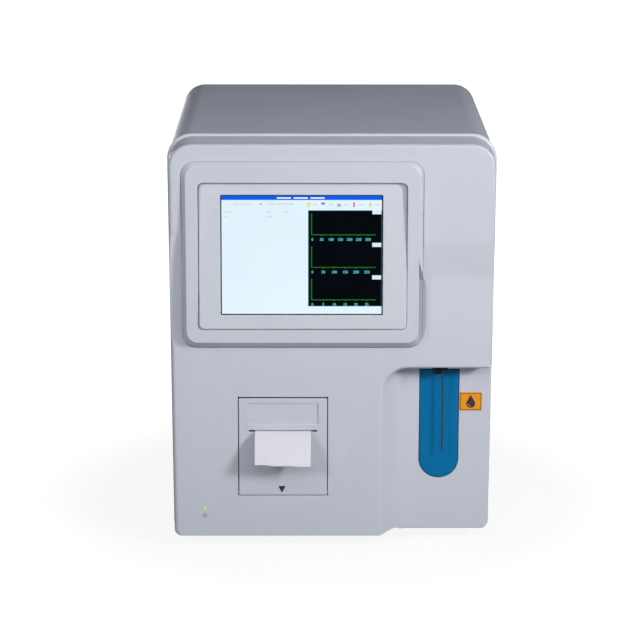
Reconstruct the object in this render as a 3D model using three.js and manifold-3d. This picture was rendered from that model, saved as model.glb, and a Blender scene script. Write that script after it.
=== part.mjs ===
// A benchtop hematology analyzer: a moulded front with a tilted touch screen, a receipt printer
// behind a drop-down door and an open sample recess, under a folded steel cover.
// Millimetres. X to the right, Y from the front face to the back, Z up from the table.
import * as THREE from "three";
import { mergeVertices } from "three/addons/utils/BufferGeometryUtils.js";
import ManifoldModule from "manifold-3d";

// Casing
const footHeight = 15;
const footRadius = 14;
const footFromFront = 100;
const footFromRear = 47;
const footFromSide = 40;
const rimWidth = 330;
const rimHeight = 414;
const rimDepth = 32;
const caseDepth = 350;
const sideDraft = 2;
const rimCorner = 25;
const lowerCorner = 6;
const shellWall = 3;
const edgeWidth = 7;
const edgeRise = 6;
const edgeDrop = 3;
const edgeDepth = 8;
const sheet = 2;
const coverStep = 1.5;
const flangeHeight = 14;
const rearInset = 4;

// Clearances
const fit = 0.3;
const overrun = 4;

// The panel right of the screen folds back into a shallow V
const foldTop = 309;
const foldShoulder = 301;
const foldShoulderDepth = 1.6;
const foldCrease = 272;
const foldDepth = 5;

// Sample recess, open to the front, the right and below
const recessCeiling = 179;
const recessDepth = 23;
const recessWidth = 114;
const recessWallRun = 17;
const recessCorner = 26;
const recessInnerCorner = 14;

// Screen surround, bezel and display
const surroundPastLeft = 17.3;
const surroundPastRight = 16.4;
const surroundPastFoot = 22.3;
const surroundPastHead = 20.6;
const surroundCorner = 14;
const surroundProudHead = 3.5;
const surroundProudFoot = 12;
const surroundBack = 9;
const surroundSideInset = 4.5;
const surroundHeadInset = 4.1;
const surroundFootInset = 8.1;
const surroundSunk = 0.8;
const bezelPastLeft = 21.1;
const bezelPastRight = 23.2;
const bezelPastFoot = 13.3;
const bezelPastHead = 12.1;
const bezelCorner = 5;
const bezelThickness = 6;
const bezelLip = 1.4;
const bezelTiltDegrees = 3.4;
const bezelFlushHeight = 270;
const bezelSplay = 3.5;
const bezelGap = 1.1;
const screenWidth = 163;
const screenHeight = 121.8;
const screenFromSide = 53.4;
const screenMiddle = 297.5;
const glassBorder = 5;
const glassThickness = 1.8;
const displayThickness = 9;
const boardThickness = 1.6;
const displayBoardWidth = 120;
const displayBoardHeight = 80;

// Printer door, hinged along its foot
const doorWidth = 89.7;
const doorPlaceShare = 0.534954;
const doorBottom = 44.5;
const doorTop = 147.4;
const doorThickness = 2.6;
const doorGap = 0.6;
const doorTopGap = 1.3;
const hingeRadius = 2.5;
const hingePinRadius = 1;
const hingeBossLength = 7;
const hingeBossHeight = 8;
const slotHeight = 112.8;
const slotWidth = 69.6;
const slotOpening = 3.2;
const windowWidth = 70.4;
const windowBottom = 120.5;
const windowTop = 141.4;
const windowDepth = 0.8;

// Printer
const paperWidth = 57;
const paperThickness = 0.5;
const paperHang = 84;
const paperReach = 28;
const paperBendShare = 0.35;
const paperFallShare = 0.8;
const rollRadius = 24;
const rollCore = 6.5;
const spindleRadius = 6;
const spindleEnd = 3;
const webRadius = 37.5;
const webCentre = 29;
const webStart = 3.3;
const trayFront = 6.3;
const trayDepth = 70;
const trayWall = 2;
const trayEar = 9;
const shelfDrop = 9.8;
const shelfDepth = 20;
const mechanismFront = 8.6;
const mechanismBack = 36;
const mechanismHeight = 30;
const headHeight = 6;
const headFront = 10;
const headBack = 23;
const platenRadius = 4.5;
const platenShaft = 1.5;
const platenForward = 16;
const gearModule = 1;
const gearRingShares = [-1.25, -0.1, 0.8];
const gearToothShares = [[-0.3, 0], [-0.21, 1], [-0.09, 2], [0.09, 2], [0.21, 1], [0.3, 0]];
const platenTeeth = 18;
const pinionTeeth = 10;
const gearWidth = 3;
const gearGap = 1.2;
const motorRadius = 7;
const motorLength = 14;
const motorSlope = 38;

// Aspirate key behind the needle
const keyPastNeedleLeft = 22.6;
const keyPastNeedleRight = 17;
const keyBottom = 56;
const keyTop = 171.5;
const keyProud = 0.4;
const keyThickness = 4;
const keyGap = 0.6;
const keyTravel = 3;
const keyPegRadius = 2.5;
const keyPegRise = 34;
const keyBracketDepth = 8;
const keyBracketMargin = 6;
const switchWidth = 20;
const switchDepth = 10;
const switchHeight = 12;
const switchPlunger = 1.5;

// Sample probe and its lift
const needleFromSide = 52;
const needleY = 13;
const needleRadius = 1;
const needleTip = 87;
const washLeft = 11;
const washRight = 5;
const washDepth = 12;
const washNose = 169;
const washBody = 173;
const washTop = 188;
const washBore = 1.6;
const liftFront = 40;
const liftBack = 64;
const liftWidth = 52;
const liftShelf = 189;
const liftFromTop = 76;
const liftToe = 12;
const rodRadius = 4;
const rodSpread = 15;
const rodY = 47;
const carriageWidth = 44;
const carriageDepth = 14;
const carriageHeight = 26;
const carriageRise = 8;
const armWidth = 14;
const armHeight = 12;
const collarRadius = 3;
const collarHeight = 4;
const pulleyRadius = 7;
const beltThickness = 1.2;
const beltWidth = 6;
const pulleyMargin = 12;
const beltShaft = 2;
const liftMotorSize = 35;
const liftMotorDepth = 30;

// Fluid bench behind the lift
const bathRadius = 12;
const bathBore = 10;
const bathHeight = 46;
const bathCone = 14;
const bathLevel = 150;
const bathNearShare = 0.216312;
const bathFarShare = 0.358156;
const benchFromNeedle = 51;
const benchMargin = 17;
const syringeBehindBench = 18;
const syringeFromNeedle = 5;
const syringeRadius = 9;
const syringeBore = 7;
const syringeLength = 60;
const syringeLevel = 110;
const syringeTravel = 34;
const syringeStandWidth = 40;
const pumpFromNeedle = 3;
const pumpBehindSyringe = 62;
const pumpRadius = 22;
const pumpDepth = 40;
const pumpHeadDepth = 16;
const pumpHeight = 52;
const pumpRollerRadius = 4;
const valveLength = 76;
const valveWidth = 22;
const valveHeight = 34;
const valveFromNeedle = 83;
const valveCount = 4;

// Electronics
const mainBoardFromSide = 15;
const mainBoardRight = 10;
const mainBoardLength = 100;
const mainBoardBeforeSupply = 13.7;
const standoffRadius = 3;
const standoffHeight = 8;
const supplyWidth = 96;
const supplyDepth = 118;
const supplyHeight = 58;

// Rear panel and what it carries
const fanX = 70;
const fanFromTop = 96;
const fanSize = 80;
const fanDepth = 25;
const fanBore = 37.5;
const fanHub = 15;
const fanWeb = 3;
const fanSpoke = 5;
const fanAxle = 2;
const fanBlades = 7;
const bladeThickness = 1.6;
const bladeWidth = 15;
const bladePitch = 35;
const ventSlots = 9;
const ventSlotHeight = 3;
const inletFromSide = 45;
const inletHeight = 70;
const inletWidth = 28;
const inletTall = 22;
const inletDepth = 18;
const inletWall = 2.4;
const inletFlange = 5;
const inletPinWidth = 4;
const inletPinThick = 2;
const powerSwitchPitch = 42;
const rockerWidth = 13;
const rockerTall = 20;
const rockerTilt = 9;
const fluidPlateFromNeedle = 13;
const fluidPlateHeight = 95;
const fluidPlateWidth = 34;
const fluidPlateTall = 110;
const fluidBarbs = 4;
const barbRadius = 3;
const barbLength = 14;
const portPlateX = 20;
const portPlateHeight = 80;
const portPlateWidth = 46;
const portPlateTall = 62;
const portCount = 3;
const portWideShares = [1 / 3, 2 / 3, 2 / 3];

// Small fittings
const ledFromSide = 35.3;
const ledHeight = 30.5;
const ledRadius = 1.65;
const ledLength = 8;
const labelFromNeedle = 18;
const labelWidth = 23;
const labelBottom = 128;
const labelTop = 147.5;
const labelThickness = 0.4;
const screwHeadRadius = 3.2;
const screwHeadHeight = 1.2;
const screwShankRadius = 1.5;
const screwLength = 5;
const sideScrewFront = 60;

// Worked out from the sizes above
const level = (height) => footHeight + height;
const rimTop = footHeight + rimHeight;
const halfWidthTop = rimWidth / 2;
const rearFace = caseDepth - rearInset;
const footSide = halfWidthTop - footFromSide;
const recessLeft = halfWidthTop - recessWidth;
const recessInnerLeft = recessLeft + recessWallRun;
const screenCentre = halfWidthTop - screenFromSide - screenWidth / 2;
const bezelLeft = screenCentre + screenWidth / 2 + bezelPastLeft;
const bezelRight = screenWidth / 2 - screenCentre + bezelPastRight;
const bezelBottom = screenMiddle - screenHeight / 2 - bezelPastFoot;
const bezelTop = screenMiddle + screenHeight / 2 + bezelPastHead;
const surroundLeft = bezelLeft + surroundPastLeft;
const surroundRight = bezelRight + surroundPastRight;
const surroundBottom = bezelBottom - surroundPastFoot;
const surroundTop = bezelTop + surroundPastHead;
const surroundSlope = (surroundProudFoot - surroundProudHead) / (surroundTop - surroundBottom);
const surroundFace = (z) => (z - level(surroundTop)) * surroundSlope - surroundProudHead;
const doorMiddle = halfWidthTop - (halfWidthTop + recessLeft) * doorPlaceShare;
const doorLeft = doorMiddle + doorWidth / 2;
const doorRight = doorMiddle - doorWidth / 2;
const needleX = halfWidthTop - needleFromSide;
const keyLeft = needleX - keyPastNeedleLeft;
const keyRight = needleX + keyPastNeedleRight;
const labelLeft = needleX + labelFromNeedle;
const liftTop = rimHeight - liftFromTop;
const bathX = needleX;
const bathNear = liftBack + (rearFace - liftBack) * bathNearShare;
const bathFar = liftBack + (rearFace - liftBack) * bathFarShare;
const benchNear = bathNear - benchMargin;
const benchFar = bathFar + benchMargin;
const syringeY = benchFar + syringeBehindBench;
const pumpY = syringeY + pumpBehindSyringe;
const supplyBack = rearFace - sheet - fit - inletDepth - overrun;
const mainBoardBack = supplyBack - supplyDepth - mainBoardBeforeSupply;
const mainBoardFront = mainBoardBack - mainBoardLength;
const benchX = needleX - benchFromNeedle;
const syringeX = needleX + syringeFromNeedle;
const pumpX = needleX - pumpFromNeedle;
const valveX = needleX - valveFromNeedle;
const fluidPlateX = needleX - fluidPlateFromNeedle;
const mainBoardLeft = halfWidthTop - mainBoardFromSide;
const fanHeight = rimHeight - fanFromTop;
const inletX = halfWidthTop - inletFromSide;
const powerSwitchX = inletX - powerSwitchPitch;
const ledX = halfWidthTop - ledFromSide;
const halfWidthFoot = halfWidthTop - sideDraft;
const coverFront = rimDepth + fit;
const basePlateTop = footHeight + sheet;
const basePlateHalf = halfWidthFoot - coverStep - sheet - fit;
const recessPanelBack = recessDepth + shellWall;
const needleBottom = level(needleTip);
const slotLevel = level(slotHeight);
const cornerSteps = 6;
const roundSides = 24;
const fineSides = 16;

const wasm = await ManifoldModule();
wasm.setup();
const { Manifold, Mesh: SolidMesh } = wasm;

// A closed three.js geometry as a solid
function solid(geometry) {
  geometry.deleteAttribute("normal");
  geometry.deleteAttribute("uv");
  const merged = mergeVertices(geometry);
  const corners = merged.index.array;
  const kept = [];
  for (let i = 0; i < corners.length; i += 3) {
    const [a, b, c] = [corners[i], corners[i + 1], corners[i + 2]];
    if (a !== b && b !== c && a !== c) kept.push(a, b, c);
  }
  const vertProperties = merged.attributes.position.array;
  return new Manifold(new SolidMesh({ numProp: 3, vertProperties, triVerts: new Uint32Array(kept) }));
}

function geometryOf(body) {
  const mesh = body.getMesh();
  const geometry = new THREE.BufferGeometry();
  geometry.setAttribute("position", new THREE.BufferAttribute(mesh.vertProperties, 3));
  geometry.setIndex(new THREE.BufferAttribute(mesh.triVerts, 1));
  geometry.computeVertexNormals();
  return geometry;
}

const joined = (first, ...others) => others.reduce((body, other) => body.add(other), first);
const cut = (first, ...others) => others.reduce((body, other) => body.subtract(other), first);

function block([x0, x1], [y0, y1], [z0, z1]) {
  const box = new THREE.BoxGeometry(x1 - x0, y1 - y0, z1 - z0);
  return solid(box.translate((x0 + x1) / 2, (y0 + y1) / 2, (z0 + z1) / 2));
}

// A round bar along one axis, placed by its two other coordinates
function rod(axis, radius, [from, to], [a, b], sides = roundSides) {
  const bar = new THREE.CylinderGeometry(radius, radius, to - from, sides);
  const middle = (from + to) / 2;
  if (axis === "x") bar.rotateZ(-Math.PI / 2).translate(middle, a, b);
  if (axis === "y") bar.translate(a, middle, b);
  if (axis === "z") bar.rotateX(Math.PI / 2).translate(a, b, middle);
  return solid(bar);
}

// A profile of radius and height turned about an upright axis
function turned(profile, [x, y, z], sides = roundSides) {
  const lathe = new THREE.LatheGeometry(profile.map(([r, h]) => new THREE.Vector2(r, h)), sides);
  return solid(lathe.rotateX(Math.PI / 2).translate(x, y, z));
}

// Outlines drawn in X and Z, made thick along Y
function slab(shape, [y0, y1]) {
  const settings = { depth: y1 - y0, bevelEnabled: false, curveSegments: cornerSteps };
  return solid(new THREE.ExtrudeGeometry(shape, settings).rotateX(Math.PI / 2).translate(0, y1, 0));
}

// Profiles drawn in Y and Z, made long along X
function profile(points, [x0, x1]) {
  const shape = new THREE.Shape(points.map(([y, z]) => new THREE.Vector2(y, z)));
  const settings = { depth: x1 - x0, bevelEnabled: false };
  const turn = new THREE.Matrix4().makeBasis(
    new THREE.Vector3(0, 1, 0),
    new THREE.Vector3(0, 0, 1),
    new THREE.Vector3(1, 0, 0),
  );
  return solid(new THREE.ExtrudeGeometry(shape, settings).applyMatrix4(turn).translate(x0, 0, 0));
}

// A polygon whose corners are rounded, each by its own radius
function rounded(corners, radii) {
  const points = [];
  corners.forEach(([x, z], i) => {
    const corner = new THREE.Vector2(x, z);
    const before = new THREE.Vector2(...corners.at(i - 1)).sub(corner).normalize();
    const after = new THREE.Vector2(...corners[(i + 1) % corners.length]).sub(corner).normalize();
    if (!radii[i]) {
      points.push(corner);
      return;
    }
    const half = Math.acos(before.dot(after)) / 2;
    const middle = before.clone().add(after).normalize();
    const centre = corner.clone().addScaledVector(middle, radii[i] / Math.sin(half));
    const start = corner.clone().addScaledVector(before, radii[i] / Math.tan(half)).sub(centre);
    const sweep = Math.PI - 2 * half;
    for (let step = 0; step <= cornerSteps; step += 1) {
      const turn = (sweep * step) / cornerSteps;
      points.push(start.clone().rotateAround(new THREE.Vector2(), turn).add(centre));
    }
  });
  return points;
}

const shapeOf = (points) => new THREE.Shape(points);

function roundedBox([x0, x1], [z0, z1], radius) {
  const corners = [[x0, z0], [x1, z0], [x1, z1], [x0, z1]];
  return rounded(corners, [radius, radius, radius, radius]);
}

// A solid through outlines of X and Z that stand at increasing depths
function loft(sections) {
  const count = sections[0].points.length;
  const depth = (y, z) => (typeof y === "function" ? y(z) : y);
  const positions = sections.flatMap(({ points, y }) =>
    points.flatMap((p) => [p.x, depth(y, p.y), p.y]));
  const index = [];
  for (let ring = 0; ring + 1 < sections.length; ring += 1) {
    for (let i = 0; i < count; i += 1) {
      const next = (i + 1) % count;
      const [a, b] = [ring * count + i, ring * count + next];
      index.push(a, a + count, b, b, a + count, b + count);
    }
  }
  const last = (sections.length - 1) * count;
  THREE.ShapeUtils.triangulateShape(sections[0].points, []).forEach((t) => index.push(...t));
  THREE.ShapeUtils.triangulateShape(sections.at(-1).points, []).forEach(([a, b, c]) => {
    index.push(last + a, last + c, last + b);
  });
  const geometry = new THREE.BufferGeometry();
  geometry.setAttribute("position", new THREE.Float32BufferAttribute(positions, 3));
  geometry.setIndex(index);
  return solid(geometry);
}

// The casing's outline from the front, drawn in by its own amount on each side
function caseOutline(side, top, foot, topRadius, footRadius) {
  const [wide, narrow] = [halfWidthTop - side, halfWidthFoot - side];
  const [high, low] = [rimTop - top, footHeight + foot];
  const corners = [[-narrow, low], [narrow, low], [wide, high], [-wide, high]];
  return rounded(corners, [footRadius, footRadius, topRadius, topRadius]);
}

const analyzer = new THREE.Group();
analyzer.name = "hematology_analyzer";

const finish = (colour, roughness, metalness = 0) => () =>
  new THREE.MeshStandardMaterial({ color: colour, roughness, metalness });
const shellPlastic = finish("#cdd0da", 0.5);
const bezelPlastic = finish("#d3d7e0", 0.45);
const coverPaint = finish("#9a9fae", 0.45);
const keyPlastic = finish("#026799", 0.35);
const orangeFilm = finish("#d99333", 0.5);
const screenGlass = finish("#10161c", 0.1);
const darkPlastic = finish("#1c1f22", 0.55);
const greyPlastic = finish("#6f757c", 0.55);
const rubber = finish("#1a1a1a", 0.9);
const steel = finish("#b6bac0", 0.35, 0.9);
const zinc = finish("#a9adb3", 0.45, 0.8);
const brass = finish("#b79a55", 0.35, 0.9);
const board = finish("#1e6b3c", 0.6);
const paper = finish("#ecebec", 0.8);
const clearPlastic = finish("#d8e4e8", 0.15);
const greenLens = finish("#acdf86", 0.2);

function piece(name, body, material, parent = analyzer) {
  const mesh = new THREE.Mesh(geometryOf(body), material());
  mesh.name = name;
  parent.add(mesh);
  return mesh;
}

// Front moulding

function shellOutside() {
  const steps = 3;
  const sections = [];
  for (let i = 0; i <= steps; i += 1) {
    const turn = (i / steps) * (Math.PI / 2);
    const left = 1 - Math.sin(turn);
    const y = edgeDepth * (1 - Math.cos(turn));
    const [side, top, foot] = [edgeWidth * left, edgeRise * left, edgeDrop * left];
    sections.push({ points: caseOutline(side, top, foot, rimCorner - side, lowerCorner - foot), y });
  }
  const back = caseOutline(0, 0, 0, rimCorner, lowerCorner);
  sections.push({ points: back, y: rimDepth });
  return loft(sections);
}

// Room to cut the recess, or with a margin the walls that line it
function recessRoom(margin) {
  const right = halfWidthTop + overrun;
  const low = footHeight - overrun;
  const section = (left, corner, y) => ({
    points: rounded(
      [[left - margin, low], [right, low], [right, level(recessCeiling) + margin],
        [left - margin, level(recessCeiling) + margin]],
      [0, 0, 0, corner],
    ),
    y,
  });
  return loft([
    section(recessLeft, recessCorner, -overrun),
    section(recessLeft, recessCorner, 0),
    section(recessInnerLeft, recessInnerCorner, recessDepth + margin),
  ]);
}

function foldRoom(margin) {
  const points = [
    [-overrun, level(foldTop) + margin],
    [margin, level(foldTop) + margin],
    [foldShoulderDepth + margin, level(foldShoulder)],
    [foldDepth + margin, level(foldCrease)],
    [margin, level(recessCeiling)],
    [-overrun, level(recessCeiling)],
  ];
  return profile(points, [surroundRight + fit, halfWidthTop + overrun]);
}

const doorOpeningX = [-doorLeft - doorGap, -doorRight + doorGap];
const doorOpeningZ = [level(doorBottom) - doorGap, level(doorTop) + doorTopGap];
const hingeZ = level(doorBottom) + hingeRadius;
const hingeY = hingeRadius;

function printerBosses() {
  const boss = ([x0, x1], z) =>
    block([x0, x1], [shellWall - fit, trayFront - fit], [z, z + hingeBossHeight]);
  const left = [doorOpeningX[0] - hingeBossLength, doorOpeningX[0]];
  const right = [doorOpeningX[1], doorOpeningX[1] + hingeBossLength];
  const low = hingeZ - hingeBossHeight / 2;
  const high = doorOpeningZ[1] - hingeBossHeight;
  return joined(boss(left, low), boss(right, low), boss(left, high), boss(right, high));
}

function keyShape(margin) {
  const radius = (keyRight - keyLeft) / 2 + margin;
  const middle = (keyLeft + keyRight) / 2;
  const low = level(keyBottom) + radius - margin;
  const shape = new THREE.Shape();
  shape.moveTo(middle + radius, low);
  shape.lineTo(middle + radius, level(keyTop) + margin);
  shape.lineTo(middle - radius, level(keyTop) + margin);
  shape.lineTo(middle - radius, low);
  shape.absarc(middle, low, radius, Math.PI, 2 * Math.PI, false);
  return shape;
}

function washBlock(margin) {
  const front = [needleY - washDepth / 2 - margin, needleY + washDepth / 2 + margin];
  const nose = [needleX - washLeft - margin, needleX - needleRadius - margin];
  const whole = [needleX - washLeft - margin, needleX + washRight + margin];
  return joined(
    block(nose, front, [level(washNose), level(washTop)]),
    block(whole, front, [level(washBody), level(washTop)]),
  );
}

function frontShell() {
  const inner = (side, y) => ({
    points: caseOutline(side, side, side, rimCorner - shellWall, lowerCorner - shellWall + fit),
    y,
  });
  const hollow = loft([
    inner(edgeWidth, shellWall),
    inner(shellWall, edgeDepth + shellWall),
    inner(shellWall, rimDepth + overrun),
  ]);
  const room = cut(hollow, recessRoom(shellWall), foldRoom(shellWall));
  const surroundHole = roundedBox(
    [-surroundLeft - fit, surroundRight + fit],
    [level(surroundBottom) - fit, level(surroundTop) + fit],
    surroundCorner + fit,
  );
  const doorHole = block(doorOpeningX, [-overrun, shellWall + overrun], doorOpeningZ);
  const pinReach = [
    doorOpeningX[0] - hingeBossLength + fit,
    doorOpeningX[1] + hingeBossLength + overrun,
  ];
  const ledReach = [-overrun, shellWall + overrun];
  return cut(
    joined(cut(shellOutside(), room, recessRoom(0), foldRoom(0)), printerBosses()),
    slab(shapeOf(surroundHole), [-overrun, rimDepth]),
    doorHole,
    rod("x", hingePinRadius + fit, pinReach, [hingeY, hingeZ], fineSides),
    rod("y", ledRadius + fit, ledReach, [-ledX, level(ledHeight)], fineSides),
    slab(keyShape(keyGap), [recessDepth - overrun, recessPanelBack + overrun]),
    washBlock(fit),
  );
}

// Screen

function screenSurround() {
  const outline = (side, foot, head) => roundedBox(
    [-surroundLeft + side, surroundRight - side],
    [level(surroundBottom) + foot, level(surroundTop) - head],
    surroundCorner - side / 2,
  );
  const hole = (margin) => roundedBox(
    [-bezelLeft - margin, bezelRight + margin],
    [level(bezelBottom) - margin, level(bezelTop) + margin],
    bezelCorner + margin,
  );
  const outside = loft([
    { points: outline(surroundSideInset, surroundFootInset, surroundHeadInset), y: surroundFace },
    { points: outline(0, 0, 0), y: surroundSunk },
    { points: outline(0, 0, 0), y: surroundBack },
  ]);
  const inside = loft([
    { points: hole(bezelGap + bezelSplay + overrun), y: (z) => surroundFace(z) - overrun },
    { points: hole(bezelGap), y: (z) => surroundFace(z) + bezelSplay },
    { points: hole(bezelGap), y: surroundBack + overrun },
  ]);
  piece("screen_surround", cut(outside, inside), shellPlastic);
}

// The bezel and what is behind it tilt together about a level line on the surround's face,
// by a further angle than that face
function tiltedScreen() {
  const unit = new THREE.Group();
  unit.position.set(0, surroundFace(level(bezelFlushHeight)), level(bezelFlushHeight));
  unit.rotation.x = -Math.atan(surroundSlope) - THREE.MathUtils.degToRad(bezelTiltDegrees);
  analyzer.add(unit);
  const local = (height) => height - bezelFlushHeight;
  const opening = (margin) => [
    [-screenCentre - screenWidth / 2 - margin, -screenCentre + screenWidth / 2 + margin],
    [local(screenMiddle) - screenHeight / 2 - margin, local(screenMiddle) + screenHeight / 2 + margin],
  ];
  const bezelZ = [local(bezelBottom), local(bezelTop)];
  const outline = roundedBox([-bezelLeft, bezelRight], bezelZ, bezelCorner);
  const [openX, openZ] = opening(0);
  const [backX, backZ] = opening(glassBorder + fit);
  const bezel = cut(
    slab(shapeOf(outline), [0, bezelThickness]),
    block(openX, [-overrun, bezelThickness + overrun], openZ),
    block(backX, [bezelLip, bezelThickness + overrun], backZ),
  );
  piece("screen_bezel", bezel, bezelPlastic, unit);
  const [glassX, glassZ] = opening(glassBorder);
  const glassBack = bezelLip + fit + glassThickness;
  piece("touch_panel", block(glassX, [bezelLip + fit, glassBack], glassZ), screenGlass, unit);
  const displayBack = glassBack + fit + displayThickness;
  const boardX = [-screenCentre - displayBoardWidth / 2, -screenCentre + displayBoardWidth / 2];
  const boardMiddle = local(screenMiddle);
  const boardZ = [boardMiddle - displayBoardHeight / 2, boardMiddle + displayBoardHeight / 2];
  const driver = block(boardX, [displayBack - fit, displayBack + boardThickness], boardZ);
  const display = block(glassX, [glassBack + fit, displayBack], glassZ);
  piece("lcd_module", joined(display, driver), zinc, unit);
}

// Steel casing behind the front moulding

function coverOutline(inset) {
  return caseOutline(coverStep + inset, coverStep + inset, -overrun, rimCorner - coverStep - inset, 0);
}

const sideScrewHeight = footHeight + flangeHeight / 2 + sheet;

function topCover() {
  const outside = slab(shapeOf(coverOutline(0)), [coverFront, caseDepth]);
  const inside = slab(shapeOf(coverOutline(sheet)), [coverFront - overrun, caseDepth + overrun]);
  const everything = halfWidthTop + overrun;
  const below = block([-everything, everything], [0, caseDepth + overrun], [-2 * overrun, footHeight]);
  const across = [-everything, everything];
  const holes = [coverFront + sideScrewFront, caseDepth - sideScrewFront].map((y) =>
    rod("x", screwShankRadius + fit, across, [y, sideScrewHeight], fineSides));
  piece("top_cover", cut(outside, inside, below, ...holes), coverPaint);
}

function basePlate() {
  const across = [-halfWidthTop, halfWidthTop];
  const floor = block([-basePlateHalf, basePlateHalf], [coverFront, caseDepth], [footHeight, basePlateTop]);
  const flange = (side) => {
    const [outer, inner] = [side * basePlateHalf, side * (basePlateHalf - sheet)];
    const span = [Math.min(outer, inner), Math.max(outer, inner)];
    return block(span, [coverFront, rearFace - sheet - fit], [footHeight, footHeight + flangeHeight]);
  };
  const standoffs = [mainBoardLeft - overrun, mainBoardRight + overrun].flatMap((x) =>
    [mainBoardFront + overrun, mainBoardBack - overrun].map((y) =>
      rod("z", standoffRadius, [footHeight, basePlateTop + standoffHeight], [-x, y], fineSides)));
  const holes = [coverFront + sideScrewFront, caseDepth - sideScrewFront].map((y) =>
    rod("x", screwShankRadius + fit, across, [y, sideScrewHeight], fineSides));
  piece("base_plate", cut(joined(floor, flange(-1), flange(1), ...standoffs), ...holes), zinc);
}

function sideScrews() {
  const places = [coverFront + sideScrewFront, caseDepth - sideScrewFront];
  const share = (sideScrewHeight - footHeight) / rimHeight;
  const skin = halfWidthFoot + sideDraft * share - coverStep;
  places.forEach((y, row) => {
    [-1, 1].forEach((side) => {
      const span = (from, to) => (side < 0 ? [-to, -from] : [from, to]);
      const outside = skin + fit;
      const at = [y, sideScrewHeight];
      const head = rod("x", screwHeadRadius, span(outside, outside + screwHeadHeight), at, fineSides);
      const shank = rod("x", screwShankRadius, span(skin - screwLength, outside), at, fineSides);
      piece(`side_screw_${side < 0 ? "left" : "right"}_${row + 1}`, joined(head, shank), steel);
    });
  });
}

function feet() {
  const shoulder = footRadius - sheet;
  const top = footHeight - fit;
  const shape = [[0, 0], [shoulder, 0], [footRadius, sheet], [footRadius, top], [0, top]];
  const rows = { front: footFromFront, rear: caseDepth - footFromRear };
  Object.entries(rows).forEach(([row, y]) => {
    piece(`foot_${row}_left`, turned(shape, [-footSide, y, 0]), rubber);
    piece(`foot_${row}_right`, turned(shape, [footSide, y, 0]), rubber);
  });
}

// Printer

const tongueBack = webStart - 2 * fit;

function printerDoor() {
  const [x0, x1] = [-doorLeft, -doorRight];
  const panelTop = level(doorTop);
  const points = [[0, hingeZ], [0, panelTop], [doorThickness, panelTop], [doorThickness, hingeZ]];
  const panel = profile(points, [x0, x1]);
  const knuckle = rod("x", hingeRadius, [x0, x1], [hingeY, hingeZ], roundSides);
  const middle = (x0 + x1) / 2;
  const windowHole = block(
    [middle - windowWidth / 2, middle + windowWidth / 2],
    [-overrun, windowDepth],
    [level(windowBottom), level(windowTop)],
  );
  const slot = block(
    [middle - slotWidth / 2, middle + slotWidth / 2],
    [-overrun, doorThickness + overrun],
    [slotLevel - slotOpening / 2, slotLevel + slotOpening / 2],
  );
  const pinRoom = [x0 - overrun, x1 + overrun];
  const pinHole = rod("x", hingePinRadius + fit, pinRoom, [hingeY, hingeZ], fineSides);
  piece("printer_door", cut(joined(panel, knuckle), windowHole, slot, pinHole), shellPlastic);
  const pinSpan = [doorOpeningX[0] - hingeBossLength + 2 * fit, doorOpeningX[1] + hingeBossLength];
  piece("printer_hinge_pin", rod("x", hingePinRadius, pinSpan, [hingeY, hingeZ], fineSides), steel);
}

const paperMiddle = -(doorLeft + doorRight) / 2;
const paperX = [paperMiddle - paperWidth / 2, paperMiddle + paperWidth / 2];
const paperTop = slotLevel + paperThickness / 2;
const paperBottom = slotLevel - paperThickness / 2;
const rollZ = paperTop - webRadius;
const rollY = webCentre + webRadius - paperThickness - fit - rollRadius;

// A strip that follows a line of Y and Z points, with its thickness on the inner side
function strip(line, thickness) {
  const under = line.map((p, i) => {
    const [a, b] = [line[Math.max(i - 1, 0)], line[Math.min(i + 1, line.length - 1)]];
    const along = new THREE.Vector2(b[0] - a[0], b[1] - a[1]).normalize();
    return [p[0] + along.y * thickness, p[1] - along.x * thickness];
  });
  return profile([...line, ...under.reverse()], paperX);
}

function paperPieces() {
  const web = [[webStart, paperTop]];
  for (let i = 0; i <= fineSides; i += 1) {
    const turn = (Math.PI / 2) * (1 - i / fineSides);
    web.push([webCentre + webRadius * Math.cos(turn), rollZ + webRadius * Math.sin(turn)]);
  }
  piece("paper_web", strip(web, paperThickness), paper);
  const droop = new THREE.CubicBezierCurve(
    new THREE.Vector2(-paperReach, level(paperHang)),
    new THREE.Vector2(-paperReach * paperFallShare, (level(paperHang) + paperTop) / 2),
    new THREE.Vector2(-paperReach * paperBendShare, paperTop),
    new THREE.Vector2(0, paperTop),
  );
  const tongue = droop.getPoints(cornerSteps * 2).map((p) => [p.x, p.y]);
  piece("paper_tongue", strip([...tongue, [tongueBack, paperTop]], paperThickness), paper);
  const roll = rod("x", rollRadius, paperX, [rollY, rollZ], roundSides * 2);
  const bore = rod("x", rollCore, [paperX[0] - overrun, paperX[1] + overrun], [rollY, rollZ]);
  piece("paper_roll", cut(roll, bore), paper);
}

const trayX = doorOpeningX;
const trayZ = doorOpeningZ;
const trayInside = [trayX[0] + trayWall, trayX[1] - trayWall];
const shelfTop = slotLevel - shelfDrop;
const cheekX = [paperX[0] - 4 * gearGap, paperX[1] + gearGap + trayWall];

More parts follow.
